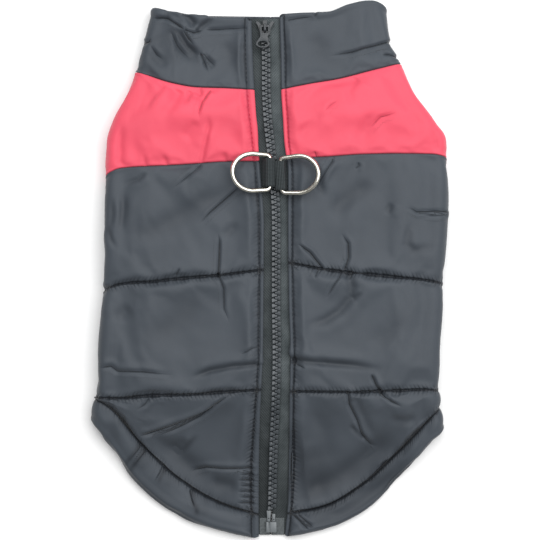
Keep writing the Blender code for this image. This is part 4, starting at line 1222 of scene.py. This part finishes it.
for side, word in SIDES:
    along = np.linspace(TAPE_END, TAPE_TOP, 173)
    section = section_at(along)
    edge = (section.left_edge if side == LEFT else section.right_edge) + side * TAPE_UNDER
    inner_edge = section.zip + side * HAIR / 2
    x = inner_edge[:, None] + (edge - inner_edge)[:, None] * TAPE_COLUMNS
    from_middle = np.abs(x - section.zip[:, None])
    cord = CORD_HEIGHT * np.exp(-(((from_middle - CORD_FROM_MIDDLE) / CORD_WIDTH) ** 2))
    wave = 0.12 * np.sin(along[:, None] / 9.0 + side) * np.clip((from_middle - 5) / 3, 0, 1)
    z = (section.height - TAPE_DROP)[:, None] - 0.25 + cord * 0.6 + wave
    y = np.broadcast_to(along[:, None], x.shape)
    faces = grid_faces(*x.shape)[:, ::side]  # upwards on both sides
    tape = as_mesh(f"zip_tape_cloth_{word}", np.stack([x, y, z], -1).reshape(-1, 3), faces)
    note(tape, lay=np.stack([np.abs(x), y, 0 * x + side], -1) * MM)
    clothe(tape, twill)
    apply_modifier(tape, "SOLIDIFY", thickness=TAPE * MM, offset=-1.0)
    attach(tape, "root")
    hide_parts(f"zip_tape_{word}")

# ------------------------------------------------------------------------------
# The zip's teeth, of black acetal moulded on the tapes' cords: each a rounded block with a thinner head
# that reaches between the heads of the other side. The zip is closed, so that both sides mesh.
# ------------------------------------------------------------------------------
TOOTH_PITCH = 3.44
BLOCK_FROM, BLOCK_TO = 1.05, 2.9
BLOCK_LENGTH, BLOCK_HEIGHT = 2.65, 2.1
HEAD_LENGTH, HEAD_HEIGHT, HEAD_PAST_MIDDLE = 1.3, 1.6, 0.75
NECK = 0.35  # the slope from the block to its head
HEAD_SPREAD = 1.15  # how much longer the head is at its end
TEETH_TOP, TEETH_END = 155.0, -162.3

# Acetal, injection moulded in a lightly grained tool: a satin gloss with soft highlights on its edges.
acetal = bpy.data.materials.new("moulded_acetal")
set_surface(acetal, {"Roughness": 0.38, "IOR": 1.48})
cloud_surface(acetal, 90.0, 3.0, (0.3, 0.7), "33383c", "4b5054")
grain = noise(acetal, add_node(acetal, "TexCoord").outputs["Object"], 1400.0, 2.0)
relieve_surface(acetal, (grain, 0.04 * MM), strength=0.5)


def pigmented(name, deep, light):
    """The same acetal with another pigment."""
    other = acetal.copy()
    other.name = name
    pigment = next(node for node in other.node_tree.nodes if node.type == "MIX")
    pigment.inputs[6].default_value = linear(deep)
    pigment.inputs[7].default_value = linear(light)
    return other


bpy.ops.object.select_all(action="DESELECT")
tooth = block("tooth", BLOCK_TO - BLOCK_FROM, BLOCK_LENGTH, BLOCK_HEIGHT)
tooth.data.transform(Matrix.Translation(((BLOCK_TO + BLOCK_FROM) / 2, 0, BLOCK_HEIGHT / 2)))
bpy.ops.object.mode_set(mode="EDIT")
select_faces(tooth, lambda face: face.normal.x < -0.9)
bpy.ops.mesh.extrude_region_move(TRANSFORM_OT_translate={"value": (-NECK, 0, 0)})
bpy.ops.transform.resize(value=(1, HEAD_LENGTH / BLOCK_LENGTH, HEAD_HEIGHT / BLOCK_HEIGHT))
reach = BLOCK_FROM - NECK + HEAD_PAST_MIDDLE
bpy.ops.mesh.extrude_region_move(TRANSFORM_OT_translate={"value": (-reach, 0, 0)})
bpy.ops.transform.resize(value=(1, HEAD_SPREAD, 1))
bpy.ops.object.mode_set(mode="OBJECT")
round_edges(tooth, 0.24, 25, segments=1)
tooth_shape, tooth_faces = take_apart(tooth)

places = []
for side in (LEFT, RIGHT):
    start = TEETH_TOP - (TOOTH_PITCH / 2 if side == RIGHT else 0)
    for along in np.arange(start, TEETH_END, -TOOTH_PITCH):
        here, after = section_at(along), section_at(along + 1)
        ahead = Vector((after.zip - here.zip, 1, after.height - here.height)).normalized()
        up = upright(ahead)
        aside = ahead.cross(up) * side
        middle = here.zip, along, here.height - TAPE_DROP + HAIR / 3
        places.append((np.array([aside, ahead, up]), middle, side))
teeth = copies("zip_teeth", tooth_shape, tooth_faces, places)
smooth_moulding(teeth, acetal)
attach(teeth, "root")
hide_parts("zip_chain")

# ------------------------------------------------------------------------------
# The foot of the zip: the box, moulded of lighter acetal with a slot down its face, the two pins that
# stand in it, each with a small hole, and a strip of clear film ironed on each tape's end.
# ------------------------------------------------------------------------------
BOX_MIDDLE = -174.0
BOX_WIDTH, BOX_LENGTH, BOX_HEIGHT = 7.0, 7.0, 3.2
SLOT_FROM, SLOT_TO, SLOT_DEPTH = -1.9, -0.9, 0.9
PIN_THICK, PIN_HOLE = 1.7, 0.84
FILM_MIDDLE, FILM_LENGTH, FILM_THICK = -173.9, 11.4, 0.35
FILM_STRIPS = (("left", -7.4, -0.3), ("right", 0.9, 9.4))

# The same acetal with a paler pigment.
foot_acetal = pigmented("moulded_acetal_grey", "575d60", "6e7376")

section = section_at(BOX_MIDDLE)
box_floor = section.height - TAPE_DROP
box = block("zip_box_moulded", BOX_WIDTH, BOX_LENGTH, BOX_HEIGHT)
bpy.ops.object.mode_set(mode="EDIT")
for cut in (SLOT_FROM, SLOT_TO):
    bpy.ops.mesh.select_all(action="SELECT")
    bpy.ops.mesh.bisect(plane_co=(cut, 0, 0), plane_no=(1, 0, 0))
select_faces(box, lambda face: face.normal.z > 0.9 and SLOT_FROM < face.calc_center_median().x < SLOT_TO)
bpy.ops.mesh.extrude_region_move(TRANSFORM_OT_translate={"value": (0, 0, -SLOT_DEPTH)})
bpy.ops.object.mode_set(mode="OBJECT")
round_edges(box, 0.35, 40)
put(box, (section.zip, BOX_MIDDLE, box_floor + BOX_HEIGHT / 2))
smooth_moulding(box, foot_acetal)
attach(box, "root")
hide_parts("zip_box")

Pin = namedtuple("Pin", "word x top wide foot_wide")
foot = BOX_MIDDLE + BOX_LENGTH / 2 + 0.1
for pin_size in (Pin("left", -1.75, -163.0, 3.0, 2.0), Pin("right", 1.6, -165.2, 2.2, 1.9)):
    top = pin_size.top
    pin = block(f"zip_pin_{pin_size.word}", pin_size.wide, top - foot, PIN_THICK)
    for vertex in pin.data.vertices:
        if vertex.co.y < 0:
            vertex.co.x *= pin_size.foot_wide / pin_size.wide
    round_edges(pin, 0.3, 40)
    bpy.ops.mesh.primitive_cylinder_add(vertices=16, radius=PIN_HOLE / 2, depth=3, location=(0, 0, 0))
    hole = bpy.context.object
    hole.data.transform(Matrix.Translation((0, (foot - top) * 0.2, 0)))
    drill(pin, hole)
    put(pin, (section.zip + pin_size.x, (top + foot) / 2, box_floor + HAIR / 2 + PIN_THICK / 2))
    smooth_moulding(pin, foot_acetal)
    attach(pin, "root")

# Clear polyamide film, ironed on: the weave below shows through it, and its face is smooth.
film = bpy.data.materials.new("clear_film_on_twill")
set_surface(film, {"Roughness": 0.5, "Coat Weight": 0.1})
under = cloud_surface(film, 900.0, 2.0, (0.35, 0.65), "3c4244", "4f5557")
relieve_surface(film, (under, 0.05 * MM), strength=0.4)
for word, low, high in FILM_STRIPS:
    strip = block(f"zip_end_film_{word}", high - low, FILM_LENGTH, FILM_THICK)
    apply_modifier(strip, "BEVEL", width=0.12, segments=2)
    put(strip, ((high + low) / 2, FILM_MIDDLE, box_floor + 0.02))
    cover(strip, film)
    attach(strip, "root")

# ------------------------------------------------------------------------------
# The slider, moulded of acetal: a plate whose two shoulders spread round its nose, and a bridge along
# it that holds the pull. The pull has a window at its head and an eye at its foot, and turns on a bar.
# ------------------------------------------------------------------------------
SLIDER_TOP, SLIDER_LENGTH, SLIDER_HEIGHT = 166.0, 10.0, 2.9
BRIDGE_WIDTH, BRIDGE_LENGTH, BRIDGE_HEIGHT, BRIDGE_WALL = 1.5, 6.4, 3.5, 1.0
PULL_BAR, PULL_LENGTH, PULL_THICK = 1.4, 15.4, 1.4
EYE_ASIDE, EYE_HALF_WIDTH, EYE_HALF_LENGTH = -1.5, 4.7, 2.9


# A hole with four sides is a rectangle, and one with many is an ellipse.
Hole = namedtuple("Hole", "x y half_x half_y sides")


def cut_plate(name, outline, thick, bevel, holes):
    """A flat moulding from its outline, with holes cut through it and all its edges rounded."""
    bpy.ops.mesh.primitive_circle_add(vertices=len(outline), radius=1, fill_type="NGON")
    plate = bpy.context.object
    plate.name = name
    for vertex, (x, y) in zip(plate.data.vertices, outline):
        vertex.co = (x, y, 0)
    plate.data.update()
    bpy.ops.object.mode_set(mode="EDIT")
    bpy.ops.mesh.select_all(action="SELECT")
    bpy.ops.mesh.extrude_region_move(TRANSFORM_OT_translate={"value": (0, 0, thick)})
    bpy.ops.mesh.select_all(action="SELECT")
    bpy.ops.mesh.normals_make_consistent(inside=False)
    bpy.ops.object.mode_set(mode="OBJECT")
    for hole in holes:
        bpy.ops.mesh.primitive_cylinder_add(vertices=hole.sides, radius=1, depth=4 * thick)
        cutter = bpy.context.object
        if hole.sides == 4:
            cutter.data.transform(Matrix.Rotation(math.pi / 4, 4, "Z"))
            cutter.data.transform(Matrix.Diagonal((math.sqrt(2), math.sqrt(2), 1, 1)))
        size = Matrix.Diagonal((hole.half_x, hole.half_y, 1, 1))
        cutter.data.transform(Matrix.Translation((hole.x, hole.y, 0)) @ size)
        drill(plate, cutter)
    round_edges(plate, bevel, 35)
    smooth_moulding(plate, acetal, 45)
    return plate


middle = SLIDER_TOP - SLIDER_LENGTH / 2
section = section_at(middle)
slider_floor = section.height - TAPE_DROP + HAIR
half_body = [
    (0.0, 5.0), (1.3, 5.0), (1.5, 2.4), (2.3, 1.9), (4.2, 4.0), (5.6, 4.4), (6.0, 3.4),
    (4.5, 0.9), (3.7, -1.4), (3.4, -4.6), (2.6, -5.0), (0.0, -5.0),
]
body_outline = half_body + [(-x, y) for x, y in half_body[-2:0:-1]]
# The plate is open under the bridge, where the locking pin goes through it.
body = cut_plate("zip_slider_moulded", body_outline, SLIDER_HEIGHT, 0.45, (Hole(0, 0, 2.5, 2.1, 4),))
half_bridge = BRIDGE_LENGTH / 2
staple = [
    (-half_bridge, -0.5), (half_bridge, -0.5), (half_bridge, 0.62 * BRIDGE_HEIGHT),
    (0.66 * half_bridge, BRIDGE_HEIGHT), (-0.66 * half_bridge, BRIDGE_HEIGHT),
    (-half_bridge, 0.62 * BRIDGE_HEIGHT),
]
clear = (BRIDGE_HEIGHT - BRIDGE_WALL) / 2
opening = Hole(0, clear - 0.4, half_bridge - BRIDGE_WALL, clear + 0.4, 4)
bridge = cut_plate("bridge", staple, BRIDGE_WIDTH, 0.3, (opening,))
stand = Matrix.Rotation(math.radians(90), 4, "Z") @ Matrix.Rotation(math.radians(90), 4, "X")
centred = Matrix.Translation((0, 0, -BRIDGE_WIDTH / 2))
bridge.data.transform(Matrix.Translation((0, 0, SLIDER_HEIGHT)) @ stand @ centred)
bpy.ops.object.select_all(action="DESELECT")
bridge.select_set(True)
body.select_set(True)
bpy.context.view_layer.objects.active = body
bpy.ops.object.join()
put(body, (section.zip, middle, slider_floor))

# The same acetal again, a little darker, with the same satin gloss.
slider_acetal = pigmented("moulded_acetal_slider", "24292d", "373c41")
cover(body, slider_acetal)
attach(body, "root")
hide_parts("zip_slider")

head = PULL_BAR / 2
foot = PULL_LENGTH - head
eye_y = -(foot - EYE_HALF_LENGTH)
turns = np.radians(np.linspace(152, 388, 19))
eye_outline = [
    (EYE_ASIDE + EYE_HALF_WIDTH * math.cos(t), eye_y + EYE_HALF_LENGTH * math.sin(t)) for t in turns
]
pull_outline = [
    (3.2, head), (-3.2, head), (-3.4, 0), (-3.2, -5.2), (-3.2, -7.0),
    *eye_outline, (2.0, -7.0), (3.0, -5.2), (3.4, 0),
]
pull = cut_plate(
    "zip_pull_moulded", pull_outline, PULL_THICK, 0.3,
    (Hole(0, -2.65, 2.0, 1.95, 4), Hole(EYE_ASIDE, eye_y, 3.2, 1.75, 24)),
)
bar_radius = PULL_BAR / math.sqrt(2)
bar_z = slider_floor + SLIDER_HEIGHT + HAIR / 2 + bar_radius
bar_y = middle + half_bridge - BRIDGE_WALL - HAIR - bar_radius
put(pull, (section.zip, bar_y, bar_z - PULL_THICK / 2))
cover(pull, slider_acetal)
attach(pull, "pull")
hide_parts("zip_pull")

# ------------------------------------------------------------------------------
# The two D rings for the lead, of steel wire bent round, welded and nickel plated, and the loops of
# woven webbing that hold them: each is folded round its ring's bar and sewn in beside the zip.
# ------------------------------------------------------------------------------
WIRE = 3.2
RING_ACROSS, BAR_ACROSS = 24.5, 23.2
RING_ARM, RING_REACH = 11.6, 25.1
RING_CORNER = 2.8
WEBBING, WEBBING_WIDTH, WEBBING_COLUMNS = 1.3, 19.0, 15
CHAIN_HEIGHT = 2.2
EYE = WIRE + 2 * HAIR
RIB_PITCH = 1.05 * MM

# Nickel plate on polished steel wire: a warm bright metal, faintly clouded, whose edges go dark.
nickel = bpy.data.materials.new("nickel_plated_steel")
set_surface(nickel, {"Metallic": 1.0, "Roughness": 0.2})
uneven_tone = cloud_surface(nickel, 260.0, 4.0, (0.35, 0.7), "c8c5ba", "e4e1d7")
relieve_surface(nickel, (uneven_tone, 0.03 * MM), strength=0.3)

# Polyester webbing, woven in ribs: matt and near black, with painted light on its ribs: paler where they
# stand up, darker between them.
webbing_cloth = bpy.data.materials.new("ribbed_polyester_webbing")
set_surface(webbing_cloth, {"Roughness": 0.75, "Specular IOR Level": 0.25})
lay = add_node(webbing_cloth, "Attribute", attribute_name="lay").outputs["Vector"]
ribs = bands(webbing_cloth, lay, RIB_PITCH, 0.3)
picks = bands(webbing_cloth, lay, 0.9 * MM, 0.8, "Y")
cloth = calculate(webbing_cloth, "MULTIPLY_ADD", picks, 0.5, ribs)
relieve_surface(webbing_cloth, (cloth, 0.4 * MM))
# Painted highlight on the ribs where they stand up, and painted shade between them.
shade = ramp(webbing_cloth, cloth, (0.0, 1.5))
dyed = between_colours(webbing_cloth, shade, "23282a", "474d4f")
colour_surface(webbing_cloth, dyed)


def bent_wire(name, path):
    """A closed loop of wire along a path, in millimetres."""
    curve = bpy.data.curves.new(name, "CURVE")
    curve.dimensions = "3D"
    curve.bevel_depth = WIRE / 2
    curve.bevel_resolution = 6
    spline = curve.splines.new("POLY")
    spline.points.add(len(path) - 1)
    for point, place in zip(spline.points, path):
        point.co = (*place, 1)
    spline.use_cyclic_u = True
    wire = add_object("ring_wire", curve)
    bpy.context.view_layer.update()
    data = bpy.data.meshes.new_from_object(wire.evaluated_get(bpy.context.evaluated_depsgraph_get()))
    bpy.data.objects.remove(wire)
    return add_object(name, data)


# Where each ring's bar is and how it lies, in millimetres and degrees, and where its webbing is sewn in.
Ring = namedtuple("Ring", "name side bar_x bar_y turn tilt anchor_x slack body")
for ring in (
    Ring("left", LEFT, -0.4, 64.3, 0, 12, -5.4, 0.4, "left_ring"),
    Ring("right", RIGHT, 7.2, 62.2, 3, 15, 10.4, 1.4, "right_ring"),
):
    section = section_at(ring.bar_y)
    loop_radius = EYE / 2 + WEBBING
    chain_top = section.height - TAPE_DROP + HAIR + CHAIN_HEIGHT
    bar = Vector((ring.bar_x, ring.bar_y, chain_top + HAIR + loop_radius))
    turn = Matrix.Rotation(math.radians(ring.turn), 4, "Z")
    tilt = Matrix.Rotation(-ring.side * math.radians(ring.tilt), 4, "Y")
    half, corner = BAR_ACROSS / 2, RING_CORNER
    path = []
    for x, y, wide, deep, first, last, steps in (
        (corner, corner - half, corner, corner, 180, 264, 10),
        (RING_ARM, 0, RING_REACH - RING_ARM, RING_ACROSS / 2, -97, 97, 48),
        (corner, half - corner, corner, corner, 96, 180, 10),
    ):
        for angle in np.radians(np.linspace(first, last, steps + 1)):
            path.append((ring.side * (x + wide * math.cos(angle)), y + deep * math.sin(angle), 0))
    bow = bent_wire(f"d_ring_{ring.name}", path)
    bow.data.transform(turn @ tilt)
    put(bow, bar)
    clothe(bow, nickel)
    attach(bow, ring.body)
    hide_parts(f"ring_{ring.name}")

    # The webbing from its sewn end, under the bar, round it and back down on its first layer.
    reach = ring.side * (ring.anchor_x - ring.bar_x)
    low = section.height - TAPE_DROP + HAIR - bar.z + WEBBING / 2
    bend = EYE / 2 + WEBBING / 2
    strip = [(reach, low), (reach * 0.75, low), (reach * 0.5, low - 0.02)]
    slack = bend + ring.slack
    strip += [
        (-(slack if math.cos(a) > 0 else bend) * math.cos(a), bend * math.sin(a))
        for a in np.radians(np.linspace(-100, 138, 30))
    ]
    strip += [(reach * 0.78, low + 2.6), (reach, low + WEBBING + 0.05)]
    strip = np.array(strip)
    for cutting_corners in range(2):
        ends = np.repeat(strip, 2, axis=0)[1:-1]
        strip = ends * 0.75 + ends.reshape(-1, 2, 2)[:, ::-1].reshape(-1, 2) * 0.25
    run = np.append(0, np.cumsum(np.linalg.norm(np.diff(strip, axis=0), axis=1)))
    length = float(run[-1])
    across = np.linspace(-0.5, 0.5, WEBBING_COLUMNS) * WEBBING_WIDTH
    x = np.broadcast_to(strip[:, :1], (len(strip), WEBBING_COLUMNS))
    z = np.broadcast_to(strip[:, 1:], x.shape)
    y = np.broadcast_to(across, x.shape)
    loop = as_mesh(
        f"webbing_loop_{ring.name}", np.stack([ring.side * x, y, z], -1).reshape(-1, 3), grid_faces(*x.shape)
    )
    note(loop, lay=np.stack([np.broadcast_to(run[:, None], x.shape), y, 0 * x], -1) * MM)
    loop.data.transform(Matrix.Translation(bar * MM) @ turn)
    clothe(loop, webbing_cloth)
    apply_modifier(loop, "SOLIDIFY", thickness=(WEBBING - 0.1) * MM, offset=0.0)
    face_outward(loop)
    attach(loop, "root")
    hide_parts(f"ring_loop_{ring.name}")

# ------------------------------------------------------------------------------
# The threads of the quilting and of the topstitching, of spun polyester in the colour of each cloth:
# short stitches, drawn in where each goes down.
# ------------------------------------------------------------------------------
STITCH_PITCH, STITCH, THREAD = 3.1, 2.3, 0.55
STANDS_UP = 0.12  # a stitch above the cloth

bpy.ops.mesh.primitive_uv_sphere_add(segments=6, ring_count=5, radius=0.5)
stitch = bpy.context.object
stitch.data.transform(Matrix.Rotation(math.radians(90), 4, "Y"))
stitch.data.transform(Matrix.Diagonal((STITCH, THREAD, THREAD * 0.8, 1)))
thread_shape, thread_faces = take_apart(stitch)

for word, deep, light in (("dark", "1c1f23", "32373d"), ("red", "a5263a", "bb3147")):
    # Spun polyester: matt, its plies in two close shades.
    thread = bpy.data.materials.new(f"spun_polyester_thread_{word}")
    set_surface(thread, {"Roughness": 0.8, "Specular IOR Level": 0.15})
    cloud_surface(thread, 1500.0, 2.0, (0.3, 0.7), deep, light)
    places = []
    for line in stitch_lines[word]:
        steps = np.linalg.norm(np.diff(line, axis=0), axis=1)
        run = np.append(0, np.cumsum(steps))
        for at in np.arange(STITCH_PITCH, run[-1] - STITCH_PITCH, STITCH_PITCH):
            here, after = (
                np.array([np.interp(s, run, line[:, i]) for i in range(3)]) for s in (at - 1.0, at + 1.0)
            )
            ahead = Vector(after - here).normalized()
            up = upright(ahead)
            turn = np.array([ahead, up.cross(ahead), up])
            places.append((turn, (here + after) / 2 + np.array(up) * STANDS_UP, 1))
    stitches = copies(f"stitches_{word}", thread_shape, thread_faces, places)
    clothe(stitches, thread)
    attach(stitches, "root")

# ------------------------------------------------------------------------------
# A plain pale floor, even light from all round and one large soft lamp from above the neck.
# ------------------------------------------------------------------------------
bpy.ops.mesh.primitive_plane_add(size=6, location=(0, 0, -0.1 * MM))
floor = bpy.context.object
floor.name = "floor"
# Uncoated paper: matt and nearly white, with faint fibres.
paper = bpy.data.materials.new("matt_paper")
set_surface(paper, {"Roughness": 0.9})
cloud_surface(paper, 300.0, 2.0, (0, 1), "f4f4f4", "f8f8f8")
floor.data.materials.append(paper)

SKY, LAMP_WATTS = 0.28, 42

world = bpy.data.worlds.new("studio")
world.use_nodes = True
world.node_tree.nodes["Background"].inputs["Color"].default_value = (1, 1, 1, 1)
world.node_tree.nodes["Background"].inputs["Strength"].default_value = SKY
bpy.context.scene.world = world
lamp = add_object("softbox", bpy.data.lights.new("softbox", "AREA"))
lamp.data.shape = "RECTANGLE"
lamp.data.size, lamp.data.size_y = 2.6, 1.5
lamp.data.energy = LAMP_WATTS
lamp.location = (0.3, 0.5, 1.4)
lamp.rotation_mode = "QUATERNION"
lamp.rotation_quaternion = (-lamp.location).to_track_quat("-Z", "Y")
bpy.context.scene.view_settings.view_transform = "Standard"
